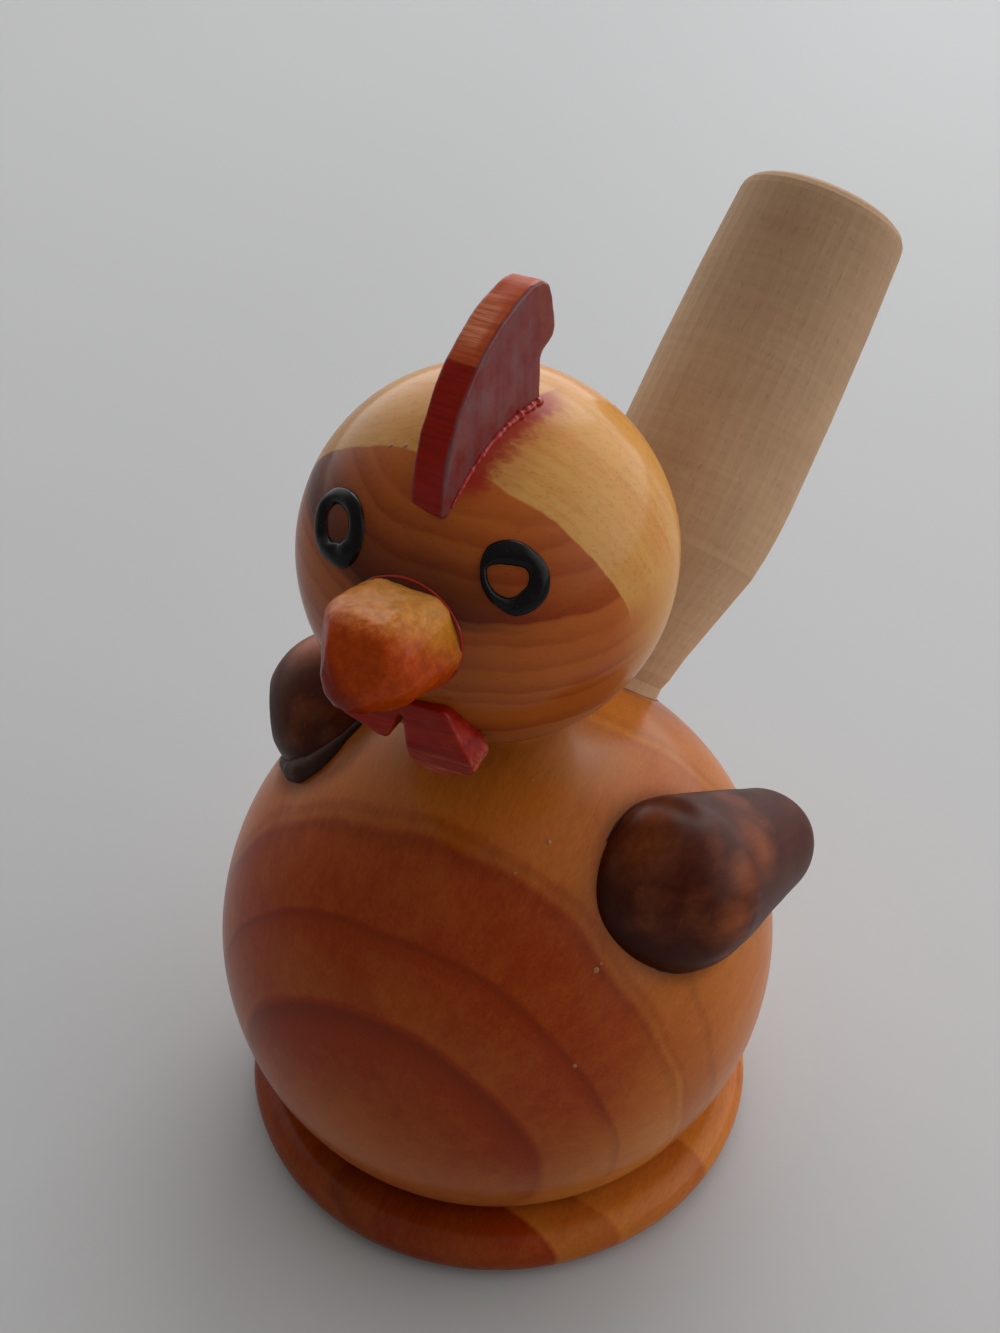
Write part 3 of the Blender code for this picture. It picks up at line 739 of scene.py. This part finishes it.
def orange_stain(colours):
    """Beak: orange stain, thin and yellow on the upper and right edges, pooled dark below."""
    paint = new_paint("orange stain")
    middle = HEAD_RADIUS + 0.0035
    point = paint.place(HEAD + BEAK_AXIS * middle)
    fibres = paint.grain(point, BEAK_AXIS, 0.25, 2, 5, 0.7)
    blotch = paint.noise(point, 0.36, 3, 0.6)
    chips = paint.noise(point, 1.3, 3, 0.7)
    up = paint.along(point, UP)
    right = paint.along(point, SEEN_RIGHT)
    ahead = paint.along(point, BEAK_AXIS)
    rim = paint.fade(up * 0.76 + right * 0.42 - ahead * 0.35 + blotch.sway(1.4), 1.6, 5)
    thin = rim * 0.95 + fibres.sway(0.2) + chips.sway(0.28)
    stain = paint.mix(thin, colours.beak_orange, colours.beak_yellow)
    # Here the stain pooled dark towards the lower left
    pooled_and_shaded = paint.fade(right * -0.80 - up * 0.62 + blotch.sway(1.2), 1.1, 3.2)
    stain = paint.mix(pooled_and_shaded * 0.9, stain, BEAK_POOL)
    crest = paint.fade(up - ahead * 0.3 + chips.sway(1.6), 2.5, 4.6, 0, 0.65)
    stain = paint.mix(crest, stain, BEAK_CREST)
    stain = paint.shade(stain, paint.fade(chips, 0.3, 0.7, 0.86, 1.16))
    relief = paint.bump(paint.noise(point, 1.6, 4, 0.7) + fibres * 0.3, 0.06, 0.8)
    return paint.coated(stain, 0.36 + fibres * 0.2, relief, 0.45, 0.2)


def dark_stain(colours, name, centre, patches):
    """Wings: dark brown stain, rubbed through to tan in soft patches that are partly painted highlight,
    and darker to the lower left as painted shade.
    """
    paint = new_paint(name)
    point = paint.place(centre)
    fibres = paint.grain(point, WING_AXIS, 0.12, 1.4, 4, 0.65)
    blotch = paint.noise(point, 0.17, 1)
    cloud = paint.noise(point, 0.40, 2, 0.45)
    wear_and_highlight = paint.fade(blotch + cloud.sway(0.35), 0.52, 0.76, 0, 0.4)
    # The listed tan patches are partly wear and partly painted highlight
    for place, radius, share in patches:
        wear_and_highlight = wear_and_highlight.most(paint.near(point, place, radius, 0.95) * (0.55 + cloud * 0.6) * share)
    stain = paint.mix(wear_and_highlight + fibres.sway(0.1), colours.wing_brown, colours.wing_tan)
    # Painted shade: the wings darker towards the lower left
    lower = paint.sweep(point, SEEN_RIGHT * 0.6 + UP * 0.8, -5, 1, 0.5)
    stain = paint.shade(stain, paint.fade(fibres, 0.28, 0.72, 0.85, 1.12) * lower)
    scratches = paint.fade(paint.grain(point, UP, 0.05, 2.6, 2), 0.6, 0.8)
    haze = paint.fade(paint.noise(point, 0.24), 0.35, 0.7)
    stain = paint.mix(scratches * haze * 0.16, stain, WING_SCRATCH)
    relief = paint.bump(fibres + cloud * 0.6, 0.03, 0.5)
    return paint.coated(stain, 0.34 + fibres * 0.2, relief, 0.5, 0.31)


def bare_wood(name, light, dark):
    """Tail, block and dowels: unvarnished wood with short flecks and fine tool rings."""
    paint = new_paint(name)
    point = paint.place(TAIL_FOOT)
    fibres = paint.grain(point, TAIL_AXIS, 0.09, 2.4, 5, 0.7)
    flecks = paint.grain(point, TAIL_AXIS, 0.3, 3.4, 3, 0.6)
    rings = paint.grain(point, TAIL_AXIS, 1.3, 1, 4, 0.65, across=0.1)
    blotch = paint.noise(point, 0.07, 2, 0.6)
    tone = 0.3 + fibres.sway(0.65) + rings.sway(0.85) + blotch.sway(0.9)
    wood = paint.mix(tone, light, dark)
    # Darker towards the mouth end of the tail
    towards_mouth_end = paint.fade(paint.along(point, TAIL_AXIS) + blotch.sway(20), 30, 74)
    wood = paint.mix(towards_mouth_end * 0.75, wood, paint.shade(wood, 0.68))
    wood = paint.shade(wood, paint.fade(flecks, 0.30, 0.42, 0.84))
    relief = paint.bump(fibres * 0.6 + rings * 0.4, 0.05, 0.6)
    return paint.surface(wood, 0.62 + fibres * 0.2, Normal=relief, Specular_IOR_Level=0.12)


def black_enamel(colours):
    """Eyes: thick enamel laid on by hand, glossy with soft dimples."""
    paint = new_paint("black enamel")
    point = paint.place(HEAD)
    dust = paint.fade(paint.cells(point, 2.4), 0.05, 0.12)
    black = paint.mix(dust, ENAMEL_DUST, colours.enamel_black)
    relief = paint.bump(paint.noise(point, 1.3), 0.05, 0.8)
    return paint.coated(black, 0.5 + (1 - dust) * 0.3, relief, 0.6, 0.05)


def glue(name, tone, roughness, coat):
    """Dried glue: glassy, with small bubbles and grains of stain."""
    paint = new_paint(name)
    point = paint.place(HEAD)
    cloud = paint.noise(point, 1.4, 3, 0.6)
    bubbles = paint.fade(paint.cells(point, 3), 0.10, 0.25)
    body = paint.mix(cloud, toned(tone, 0.45), tone)
    body = paint.mix((1 - bubbles) * 0.35, body, toned(tone, 1.6, 0.025))
    relief = paint.bump(cloud + bubbles * 0.4, 0.10, 0.9)
    return paint.surface(body, roughness + cloud * 0.1, Normal=relief, Coat_Weight=coat,
                         Coat_Roughness=0.08, Specular_IOR_Level=0.2)


# Pieces


def body_profile():
    """Half profile of the body: pad, cove, ball, groove and rounded foot."""
    pad_edge = 0.0004
    cove = 0.0020
    groove_radius = 0.0212
    groove_height = 0.0043
    groove_edge = 0.0007
    hollow_radius = 0.0200
    hollow_depth = 0.0003
    cove_radius = NECK_RADIUS + cove
    polar = math.asin(cove_radius / BALL_RADIUS)
    fall = NECK_TOP - BALL.z - BALL_RADIUS * math.cos(polar)
    profile = [(0, NECK_TOP), (NECK_RADIUS - 2 * pad_edge, NECK_TOP)]
    profile += arc(NECK_RADIUS - 0.0005, NECK_TOP - pad_edge, pad_edge, 70, 5, 4)
    for index in range(1, 8):
        angle = math.radians(18 + 62 * index / 8)
        profile.append((cove_radius - cove * math.cos(angle), NECK_TOP - fall * math.sin(angle)))
    low = math.degrees(math.asin((BALL.z - BALL_FOOT) / BALL_RADIUS))
    profile += arc(0, BALL.z, BALL_RADIUS, 90 - math.degrees(polar), -low, 110)
    profile += arc(groove_radius, groove_height, groove_edge, 180, 96, 4)
    edge = FOOT_HEIGHT / 2
    profile += arc(FOOT_RADIUS - edge, edge, edge, 90, -90, 26)
    return profile + [(hollow_radius, 0), (hollow_radius - 0.0002, hollow_depth), (0, hollow_depth)]


def build_body(sizes, colours):
    mesh = lathe("turned_body", body_profile(), sizes.turning_steps, Matrix())
    uneven(mesh, sizes.hand_wobble, 0.009)
    for vertex in mesh.vertices:
        # Wobble never takes the underside below the table
        vertex.co.z = max(vertex.co.z, 0)
    mouth = BALL_RADIUS + 0.002
    floor = BALL_RADIUS - SOCKET_DEPTH
    socket = lathe("socket", [(0, mouth), (SOCKET_RADIUS, mouth), (SOCKET_RADIUS, floor), (0, floor)],
                   64, frame_on(TAIL_AXIS, TAIL_FOOT))
    keep(smooth(carved(mesh, socket)), "turned_body", varnished_pine(colours), "body",
         slot="varnished_pine")


def build_head(sizes, colours):
    seat = math.sqrt(HEAD_RADIUS ** 2 - NECK_RADIUS ** 2)
    low = math.degrees(math.asin(seat / HEAD_RADIUS))
    profile = [(0, HEAD_RADIUS)] + arc(0, 0, HEAD_RADIUS, 90, -low, 90)[1:] + [(0, -seat)]
    mesh = lathe("turned_head", profile, sizes.turning_steps, Matrix.Translation(HEAD))
    uneven(mesh, sizes.hand_wobble * 1.6, 0.008, 3)
    keep(smooth(mesh), "turned_head", varnished_head_pine(colours), "head",
         slot="varnished_head_pine")


# The eyes: azimuth and elevation on the head in degrees, then the enamel's outer and inner
# outlines as bearing in degrees and distance over the head in mm
EYES = {
    "left": (32.5, 25, (
        (8, 2.75), (53, 2.57), (97, 2.96), (126, 3.14), (147, 2.90), (169, 2.60), (210, 2.46),
        (244, 2.54), (273, 2.96), (298, 2.98), (328, 2.97),
    ), (
        (16, 1.09), (39, 1.03), (80, 0.82), (118, 1.05), (140, 1.60), (157, 2.12), (170, 2.02),
        (190, 1.86), (210, 1.72), (231, 1.58), (254, 1.48), (269, 1.33), (301, 1.07), (347, 1.06),
    )),
    "right": (-29.8, 27.8, (
        (3, 3.05), (41, 3.12), (78, 3.25), (110, 3.45), (138, 3.55), (165, 3.00), (206, 2.75),
        (248, 2.75), (287, 3.40), (315, 3.35), (340, 3.15),
    ), (
        (20, 1.55), (60, 1.65), (100, 2.00), (130, 1.90), (160, 1.45), (214, 1.10), (270, 1.00),
        (315, 1.35), (345, 1.45),
    )),
}


def reach(outline, bearing):
    """Reads an outline at a bearing, in metres, passing smoothly from point to point."""
    degrees = math.degrees(bearing) % 360
    turns = [(at + whole, far) for whole in (-360, 0, 360) for at, far in outline]
    for index in range(1, len(turns) - 2):
        (_, before), (start_at, start), (end_at, end), (_, after) = turns[index - 1:index + 3]
        if start_at <= degrees < end_at:
            share = (degrees - start_at) / (end_at - start_at)
            bend = (2 * start - before - end) * (1 - share) + (2 * end - start - after) * share
            return (start + share * (end - start) + bend * share * (1 - share) * 0.25) * MM
    raise ValueError("outline has a gap")


def enamel_ring(name, axis, outer, inner, rise):
    """A hand-laid ring of enamel on the head, its rims sunk a little into the wood."""
    right = (SEEN_RIGHT - axis * SEEN_RIGHT.dot(axis)).normalized()
    up = axis.cross(right)
    around = 144
    across = 14
    sunk = 0.00012
    points = []
    faces = []
    for index in range(around):
        bearing = 2 * math.pi * index / around
        way = right * math.cos(bearing) + up * math.sin(bearing)
        near = reach(inner, bearing)
        far = reach(outer, bearing)
        for row in range(across + 1):
            share = row / across
            swell = max(0.0, math.sin(math.pi * share)) ** 0.55
            lumps = 1 + 0.22 * noise.noise(Vector((math.cos(bearing), math.sin(bearing), share)) * 1.7)
            lift = rise * swell * lumps - (sunk if row in (0, across) else 0)
            angle = (near + (far - near) * share) / HEAD_RADIUS
            spot = axis * math.cos(angle) + way * math.sin(angle)
            points.append(HEAD + spot * (HEAD_RADIUS + lift))
    rows = across + 1
    for index in range(around):
        here = index * rows
        there = (index + 1) % around * rows
        for row in range(across):
            faces.append((here + row, here + row + 1, there + row + 1, there + row))
        faces.append((here + across, here, there, there + across))
    return smooth(outward(new_mesh(name, points, faces)), 60)


def build_eyes(sizes, colours):
    enamel = black_enamel(colours)
    for side, (azimuth, elevation, outer, inner) in EYES.items():
        axis = on_head(math.radians(azimuth), math.radians(elevation))
        ring = enamel_ring("eye_enamel_" + side, axis, outer, inner, sizes.enamel_rise)
        keep(ring, "eye_enamel_" + side, enamel, "eye_ring_" + side, slot="black_enamel")


def build_comb(sizes, colours):
    mesh = uneven(softened("comb", sizes.edge_voxel), 0.00009, 0.0022, 5)
    keep(smooth(mesh, 60), "comb_plate", red_stain_comb(colours), "comb", slot="red_stain")


def build_wattles(sizes, colours):
    mesh = uneven(softened("wattles", sizes.edge_voxel), 0.00008, 0.0018, 9)
    keep(smooth(mesh, 60), "wattle_plate", red_stain_wattles(colours), "wattles", slot="red_stain")


# Swellings of the beak as the photograph shows them, in mm: right and top, radius, shift
BEAK_SWELLS = (((-3.6, 3.0), 5.5, (-1.3, 0.6)), ((-3.6, -3.2), 4.8, (-0.7, -0.8)))
# Flats whittled on the beak: facing right, top and near, and distance from its middle
BEAK_FACETS = (((-0.35, -0.15, 0.92), 0.0035), ((0.78, -0.05, 0.62), 0.0038),
               ((0.10, 0.78, 0.62), 0.0039), ((-0.97, 0.12, 0.22), 0.0043),
               ((0.15, -0.95, 0.25), 0.0038))


def build_beak(sizes, colours):
    tip_radius = 0.0041
    rim = 0.0003
    tip = BEAK_SEAT + BEAK_LENGTH
    ball = tip - tip_radius
    slope = math.degrees(math.atan2(BEAK_RADIUS - tip_radius, ball - BEAK_SEAT))
    profile = [(0, tip)] + arc(0, ball, tip_radius, 90, slope, 28)[1:]
    profile += between((tip_radius, ball), (BEAK_RADIUS, BEAK_SEAT + rim), 12)
    profile += arc(BEAK_RADIUS - rim, BEAK_SEAT + rim, rim, 0, -90, 4) + [(0, BEAK_SEAT)]
    mesh = lathe("stained_beak", profile, SMALL_STEPS, frame_on(BEAK_AXIS, HEAD))
    uneven(mesh, 0.00020, 0.0030, 2)
    centre = HEAD + BEAK_AXIS * ball
    for spot, radius, shift in BEAK_SWELLS:
        pull(mesh, centre + seen(*spot) * MM, radius * MM, seen(*shift) * MM)
    for facet, distance in BEAK_FACETS:
        flatten(mesh, centre, seen(*facet).normalized(), distance, 0.9)
    uneven(mesh, 0.00010, 0.0009, 4)
    keep(smooth(mesh), "stained_beak", orange_stain(colours), "beak", slot="orange_stain")


# Where the wings' stain is rubbed thin, and tan painted in as highlight on tops and outer sides: place
# from the wing's centre in mm, radius, share
RUBBED_AND_LIT = {
    "left": (((6.4, 0.6, 4.4), 3.2, 0.80), ((7.3, -2.1, 1.8), 3.2, 0.85), ((-1.0, -4.2, 6.4), 4.8, 0.65),
             ((-2.5, -1.1, 7.4), 3.6, 0.60), ((5.0, 5.0, 3.8), 4.4, 0.75), ((-5.0, 4.0, 4.5), 4.5, 0.4)),
    "right": (((-2.5, -1.2, 7.2), 4.6, 1.20), ((-5.5, 6.0, 3.0), 5.5, 0.5),
              ((-6.5, -3.0, 1.0), 3.5, 0.3)),
}


def wing_profile():
    """Half profile of a wing: small round end, straight taper and large round end."""
    slope = math.degrees(math.asin((WING_RADIUS - WING_END_RADIUS) / WING_SPACING))
    small = arc(0, WING_SPACING, WING_END_RADIUS, 90, slope, 26)
    large = arc(0, 0, WING_RADIUS, slope, -90, 44)
    return ([(0, WING_SPACING + WING_END_RADIUS)] + small[1:] + between(small[-1], large[0], 16)
            + large[:-1] + [(0, -WING_RADIUS)])


def build_wings(sizes, colours):
    ball = [(0, BALL_RADIUS)] + arc(0, 0, BALL_RADIUS, 90, -90, 90)[1:-1] + [(0, -BALL_RADIUS)]
    saddle = lathe("saddle", ball, 180, Matrix.Translation(BALL))
    for name, centre in WING_SEATS.items():
        mesh = lathe("wing", wing_profile(), SMALL_STEPS, frame_on(WING_AXIS, centre))
        uneven(mesh, 0.00012, 0.0050, 1 if name == "left" else 6)
        if name == "right":
            flatten(mesh, centre, -SEEN_RIGHT, WING_FLAT, 0.6)
        hang, shift = HANG[name]
        pull(mesh, hang, HANG_REACH, shift)
        finish = dark_stain(colours, "dark stain " + name, centre, RUBBED_AND_LIT[name])
        keep(smooth(carved(mesh, saddle)), "stained_wing_" + name, finish, "wing_" + name,
             slot="dark_stain")


def build_tail(sizes, colours):
    tan = bare_wood("bare wood", colours.tail_tan, colours.tail_brown)
    birch = bare_wood("dowel birch", colours.dowel_birch, toned(colours.dowel_birch, 0.7))
    finishes = {"tail_tube": tan, "fipple_plug": tan, "neck_dowel": birch,
                "wing_dowel_left": birch, "wing_dowel_right": birch}
    for node, finish in finishes.items():
        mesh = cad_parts[node].data
        mesh.materials.clear()
        mesh.materials.append(finish)


# Runs and specks in the varnish: direction from the ball's or head's centre, and radius in mm
BODY_SPECKS = (((12.4, -7.6, 23.7), 0.26), ((20.2, -10.7, 15.8), 0.30), ((8.0, -4.4, 26.2), 0.20),
               ((11.8, -11.4, 22.5), 0.17), ((21.6, -15.2, 8.6), 0.22), ((20.5, -10.2, 16.3), 0.18),
               ((-14.0, -8.0, 22.0), 0.20), ((6.0, 20.0, 17.0), 0.22), ((-20.0, 12.0, 14.0), 0.21))
HEAD_SPECKS = (((-1.8, -9.1, 13.3), 0.22), ((-0.5, -8.8, 13.6), 0.26), ((0.6, -8.6, 13.7), 0.17),
               ((5.0, 10.0, 11.0), 0.18))
SPECK_SUNK = 0.00006
SPECK_FLATNESS = 0.45

# Glue round each wing, dark also as painted contact shadow: share of the usual bead, seed, lump where it
# hangs, share of the hang
WING_BEADS = {"left": (0.8, 6, 0.0003, 1), "right": (0.55, 8, 0.0014, 1.25)}


def specks(name, centre, radius, places, finish):
    """Small drops of varnish dried on a turned surface."""
    drops = bmesh.new()
    for way, size in places:
        out = Vector(way).normalized()
        profile = [(size * MM * math.sin(turn), size * MM * SPECK_FLATNESS * math.cos(turn))
                   for turn in map(math.radians, range(0, 120, 15))]
        profile.append((0, profile[-1][1]))
        drops.from_mesh(lathe(name, profile, 20, frame_on(out, centre + out * (radius - SPECK_SUNK))))
    mesh = bpy.data.meshes.new(name)
    drops.to_mesh(mesh)
    drops.free()
    keep(smooth(outward(mesh), 60), name, finish)


def beads(count, radius, seed):
    """Thicknesses of a bead that swells and thins along its way."""
    swings = [noise.noise(Vector((index * 0.21, seed, 0))) for index in range(count)]
    return [radius * (0.75 + 0.6 * swing) for swing in swings]


def glue_ring(name, line, radius, seed, finish):
    """Glue squeezed out all round a joint."""
    keep(smooth(tube(name, line, beads(len(line), radius, seed))), name, finish)


def wing_glue_and_shadow(name, bead, finish):
    """Glue round the front of a wing, with a lump where the wing hangs low; its dark bead is also
    painted contact shadow.
    """
    away = WING_SEATS[name] - BALL
    inward = (BALL_RADIUS ** 2 + away.length ** 2 - WING_RADIUS ** 2) / (2 * away.length)
    way = away.normalized()
    front = (way * way.y - BACK).normalized()
    count = 90
    line = bow(BALL + way * inward, front, way.cross(front), math.sqrt(BALL_RADIUS ** 2 - inward ** 2),
               spread(-105, 105, count))
    thickness, seed, lump, drop = WING_BEADS[name]
    hang, shift = HANG[name]
    swell = [size * math.sin(math.pi * (index + 1) / (count + 1)) ** 0.5
             + lump * max(0, 1 - (spot - hang).length / LUMP_REACH)
             for index, (size, spot) in enumerate(zip(beads(count, bead * thickness, seed), line))]
    mesh = tube("wing_glue_" + name, line, swell, sides=16, closed=False)
    pull(mesh, hang, HANG_REACH, shift * drop)
    if name == "right":
        uneven(mesh, 0.00020, 0.0022, 3)
    keep(smooth(mesh, 60), "wing_glue_" + name, finish)


def comb_glue(bead, finish):
    """Glue in the corner between the comb's left side and the head, thinner to the back."""
    aside = 0.0057
    back = Vector((-0.035, 0.999, 0))
    up = Vector((-0.049, -0.002, 0.999))
    count = 120
    line = bow(HEAD + COMB_SIDE * aside, back, up, math.sqrt(HEAD_RADIUS ** 2 - aside ** 2),
               spread(88, 134, count))
    swell = [size * share for size, share in zip(beads(count, bead, 4), spread(1.35, 0.40, count))]
    mesh = uneven(tube("comb_glue", line, swell, closed=False), 0.00012, 0.0013, 2)
    keep(smooth(mesh, 60), "comb_glue", finish)


def build_glue(sizes, colours):
    bead = sizes.glue_bead
    amber = glue("amber glue", (0.24, 0.065, 0.014), 0.4, 0.3)
    crimson = glue("crimson glue", (0.45, 0.018, 0.010), 0.3, 0.4)
    umber = glue("umber glue and shadow", (0.040, 0.010, 0.003), 0.6, 0.03)
    varnish = glue("varnish drop", (0.42, 0.17, 0.06), 0.4, 0.3)
    line = ring_points(HEAD + BEAK_AXIS * (BEAK_SEAT + 0.00005), BEAK_AXIS, BEAK_RADIUS + 0.00002, 96)
    glue_ring("beak_glue", line, bead * 0.6, 1, crimson)
    line = ring_points(Vector((0, 0, NECK_TOP + 0.0001)), UP, NECK_RADIUS, 72)
    glue_ring("neck_glue", line, bead, 2, amber)
    seam = ring_points(TAIL_FOOT + TAIL_AXIS * TAIL_SEAM, TAIL_AXIS, TAIL_SEAM_RADIUS, 72)
    line = [BALL + (spot - BALL).normalized() * BALL_RADIUS for spot in seam]
    glue_ring("tail_glue", line, bead * 0.45, 3, amber)
    for name in WING_SEATS:
        wing_glue_and_shadow(name, bead, umber)
    comb_glue(bead * 1.6, crimson)
    specks("body_varnish_specks", BALL, BALL_RADIUS, BODY_SPECKS, varnish)
    specks("head_varnish_specks", HEAD, HEAD_RADIUS, HEAD_SPECKS, varnish)


# The stage


def build_stage(colours, light):
    scene = bpy.context.scene
    right = SEEN_RIGHT * math.cos(VIEW_ROLL) + SEEN_TOP * math.sin(VIEW_ROLL)
    top = SEEN_TOP * math.cos(VIEW_ROLL) - SEEN_RIGHT * math.sin(VIEW_ROLL)
    lens = bpy.data.cameras.new("camera")
    lens.sensor_fit = "HORIZONTAL"
    lens.sensor_width = CAMERA_SENSOR
    lens.lens = CAMERA_LENS
    lens.clip_start = 0.005
    camera = bpy.data.objects.new("camera", lens)
    camera.matrix_world = Matrix.Translation(CAMERA_SPOT) @ Matrix(
        (right, top, SEEN_NEAR)).transposed().to_4x4()
    scene.collection.objects.link(camera)
    scene.camera = camera
    scene.view_settings.view_transform = "Standard"

    floor_mesh = lathe("floor", [(0, 0), (0.2, 0), (0.6, 0), (1.5, 0), (4.0, 0)], 64, Matrix())
    for polygon in floor_mesh.polygons:
        if polygon.normal.z < 0:
            polygon.flip()
    floor = bpy.data.objects.new("floor", floor_mesh)
    floor_mesh.materials.append(table_top(colours))
    scene.collection.objects.link(floor)

    pane = bpy.data.lights.new("window", "AREA")
    pane.shape = "RECTANGLE"
    pane.size = 0.50
    pane.size_y = 0.40
    pane.energy = light.window
    pane.color = (0.95, 0.98, 1.0)
    window = bpy.data.objects.new("window", pane)
    way = (SEEN_AWAY * 0.70 + SEEN_RIGHT * 0.25 + UP * 0.62).normalized()
    window.matrix_world = frame_on(way, BALL + way * 0.8)
    scene.collection.objects.link(window)
    room_light(scene, light)


def table_top(colours):
    """A smooth pale laminate with a faint mottle, and painted light that makes it lighter towards the
    right.
    """
    paint = new_paint("table top")
    point = paint.place()
    mottle = paint.noise(point, 0.02, 3, 0.6)
    grit = paint.noise(point, 0.9)
    # Painted light: the table top lighter towards the right
    side = paint.sweep(point, SEEN_RIGHT - SEEN_AWAY * 0.25, -110, 70)
    tone = 0.30 + 0.40 * side + 0.14 * mottle + 0.10 * grit
    grey = paint.mix(tone, toned(colours.floor_grey, 0.80), toned(colours.floor_grey, 1.08))
    return paint.surface(grey, 0.6 + mottle * 0.1, Specular_IOR_Level=0.1)


def room_light(scene, light):
    """A room that is dim in front of the bird and bright behind and above it."""
    world = bpy.data.worlds.new("room")
    scene.world = world
    paint = Paint(world)
    way = paint.node("ShaderNodeTexCoord", output="Generated")
    source = (SEEN_AWAY * 0.80 + SEEN_RIGHT * 0.60).normalized()
    share = paint.sweep(way, source, -0.55, 0.70) * paint.sweep(way, UP, 0.50, 1, 1, 0.22)
    strength = light.room + share * (light.sky - light.room)
    tinge = paint.mix(share, (1.0, 0.97, 0.93), (0.97, 0.985, 1.0))
    lit = paint.node("ShaderNodeBackground", {}, {"Color": tinge, "Strength": strength})
    plain = paint.node("ShaderNodeBackground", {},
                       {"Color": (1, 1, 1.01, 1), "Strength": light.backdrop})
    camera_ray = paint.node("ShaderNodeLightPath", output="Is Camera Ray")
    both = paint.node("ShaderNodeMixShader", {}, {0: camera_ray, 1: lit, 2: plain})
    paint.node("ShaderNodeOutputWorld", {}, {"Surface": both})


# Operators and panel


class Step:
    """What the steps that build pieces share."""

    bl_options = {"REGISTER", "UNDO"}

    def run(self, build, scene):
        """Builds with the scene's sizes and colours, which every build function takes."""
        build(scene.whistle_sizes, scene.whistle_colours)
        return {"FINISHED"}


class WHISTLE_OT_stage(Step, bpy.types.Operator):
    """Set the camera, table top and light"""

    bl_idname = "whistle.stage"
    bl_label = "Stage"

    def execute(self, context):
        build_stage(context.scene.whistle_colours, context.scene.whistle_light)
        return {"FINISHED"}


class WHISTLE_OT_body(Step, bpy.types.Operator):
    """Turn the body with its foot"""

    bl_idname = "whistle.body"
    bl_label = "Body"

    def execute(self, context):
        return self.run(build_body, context.scene)


class WHISTLE_OT_head(Step, bpy.types.Operator):
    """Turn the head"""

    bl_idname = "whistle.head"
    bl_label = "Head"

    def execute(self, context):
        return self.run(build_head, context.scene)


class WHISTLE_OT_eyes(Step, bpy.types.Operator):
    """Lay the enamel rings of the eyes"""

    bl_idname = "whistle.eyes"
    bl_label = "Eyes"

    def execute(self, context):
        return self.run(build_eyes, context.scene)


class WHISTLE_OT_comb(Step, bpy.types.Operator):
    """Saw and stain the comb"""

    bl_idname = "whistle.comb"
    bl_label = "Comb"

    def execute(self, context):
        return self.run(build_comb, context.scene)


class WHISTLE_OT_beak(Step, bpy.types.Operator):
    """Turn and stain the beak"""

    bl_idname = "whistle.beak"
    bl_label = "Beak"

    def execute(self, context):
        return self.run(build_beak, context.scene)


class WHISTLE_OT_wattles(Step, bpy.types.Operator):
    """Saw and stain the wattles"""

    bl_idname = "whistle.wattles"
    bl_label = "Wattles"

    def execute(self, context):
        return self.run(build_wattles, context.scene)


class WHISTLE_OT_wings(Step, bpy.types.Operator):
    """Turn and stain both wings"""

    bl_idname = "whistle.wings"
    bl_label = "Wings"

    def execute(self, context):
        return self.run(build_wings, context.scene)


class WHISTLE_OT_tail(Step, bpy.types.Operator):
    """Finish the tail, its block and the dowels"""

    bl_idname = "whistle.tail"
    bl_label = "Tail"

    def execute(self, context):
        return self.run(build_tail, context.scene)


class WHISTLE_OT_glue(Step, bpy.types.Operator):
    """Lay the glue and the varnish drops that show"""

    bl_idname = "whistle.glue"
    bl_label = "Glue"

    def execute(self, context):
        return self.run(build_glue, context.scene)


STEPS = (WHISTLE_OT_stage, WHISTLE_OT_body, WHISTLE_OT_head, WHISTLE_OT_eyes, WHISTLE_OT_comb,
         WHISTLE_OT_beak, WHISTLE_OT_wattles, WHISTLE_OT_wings, WHISTLE_OT_tail, WHISTLE_OT_glue)


class WHISTLE_PT_panel(bpy.types.Panel):
    """The whistle's settings and steps"""

    bl_idname = "WHISTLE_PT_panel"
    bl_label = "Rooster whistle"
    bl_space_type = "VIEW_3D"
    bl_region_type = "UI"
    bl_category = "Whistle"

    def draw(self, context):
        scene = context.scene
        for group in (scene.whistle_sizes, scene.whistle_colours, scene.whistle_light):
            box = self.layout.box()
            for name in group.__annotations__:
                box.prop(group, name)
        for step in STEPS:
            self.layout.operator(step.bl_idname)


GROUPS = {"whistle_sizes": WhistleSizes, "whistle_colours": WhistleColours,
          "whistle_light": WhistleLight}


def register():
    for name, group in GROUPS.items():
        bpy.utils.register_class(group)
        setattr(bpy.types.Scene, name, PointerProperty(type=group))
    for step in STEPS:
        bpy.utils.register_class(step)
    bpy.utils.register_class(WHISTLE_PT_panel)


def unregister():
    bpy.utils.unregister_class(WHISTLE_PT_panel)
    for step in reversed(STEPS):
        bpy.utils.unregister_class(step)
    for name, group in reversed(GROUPS.items()):
        delattr(bpy.types.Scene, name)
        bpy.utils.unregister_class(group)


def main():
    register()
    for step in STEPS:
        area, name = step.bl_idname.split(".")
        getattr(getattr(bpy.ops, area), name)()


if __name__ == "__main__":
    main()
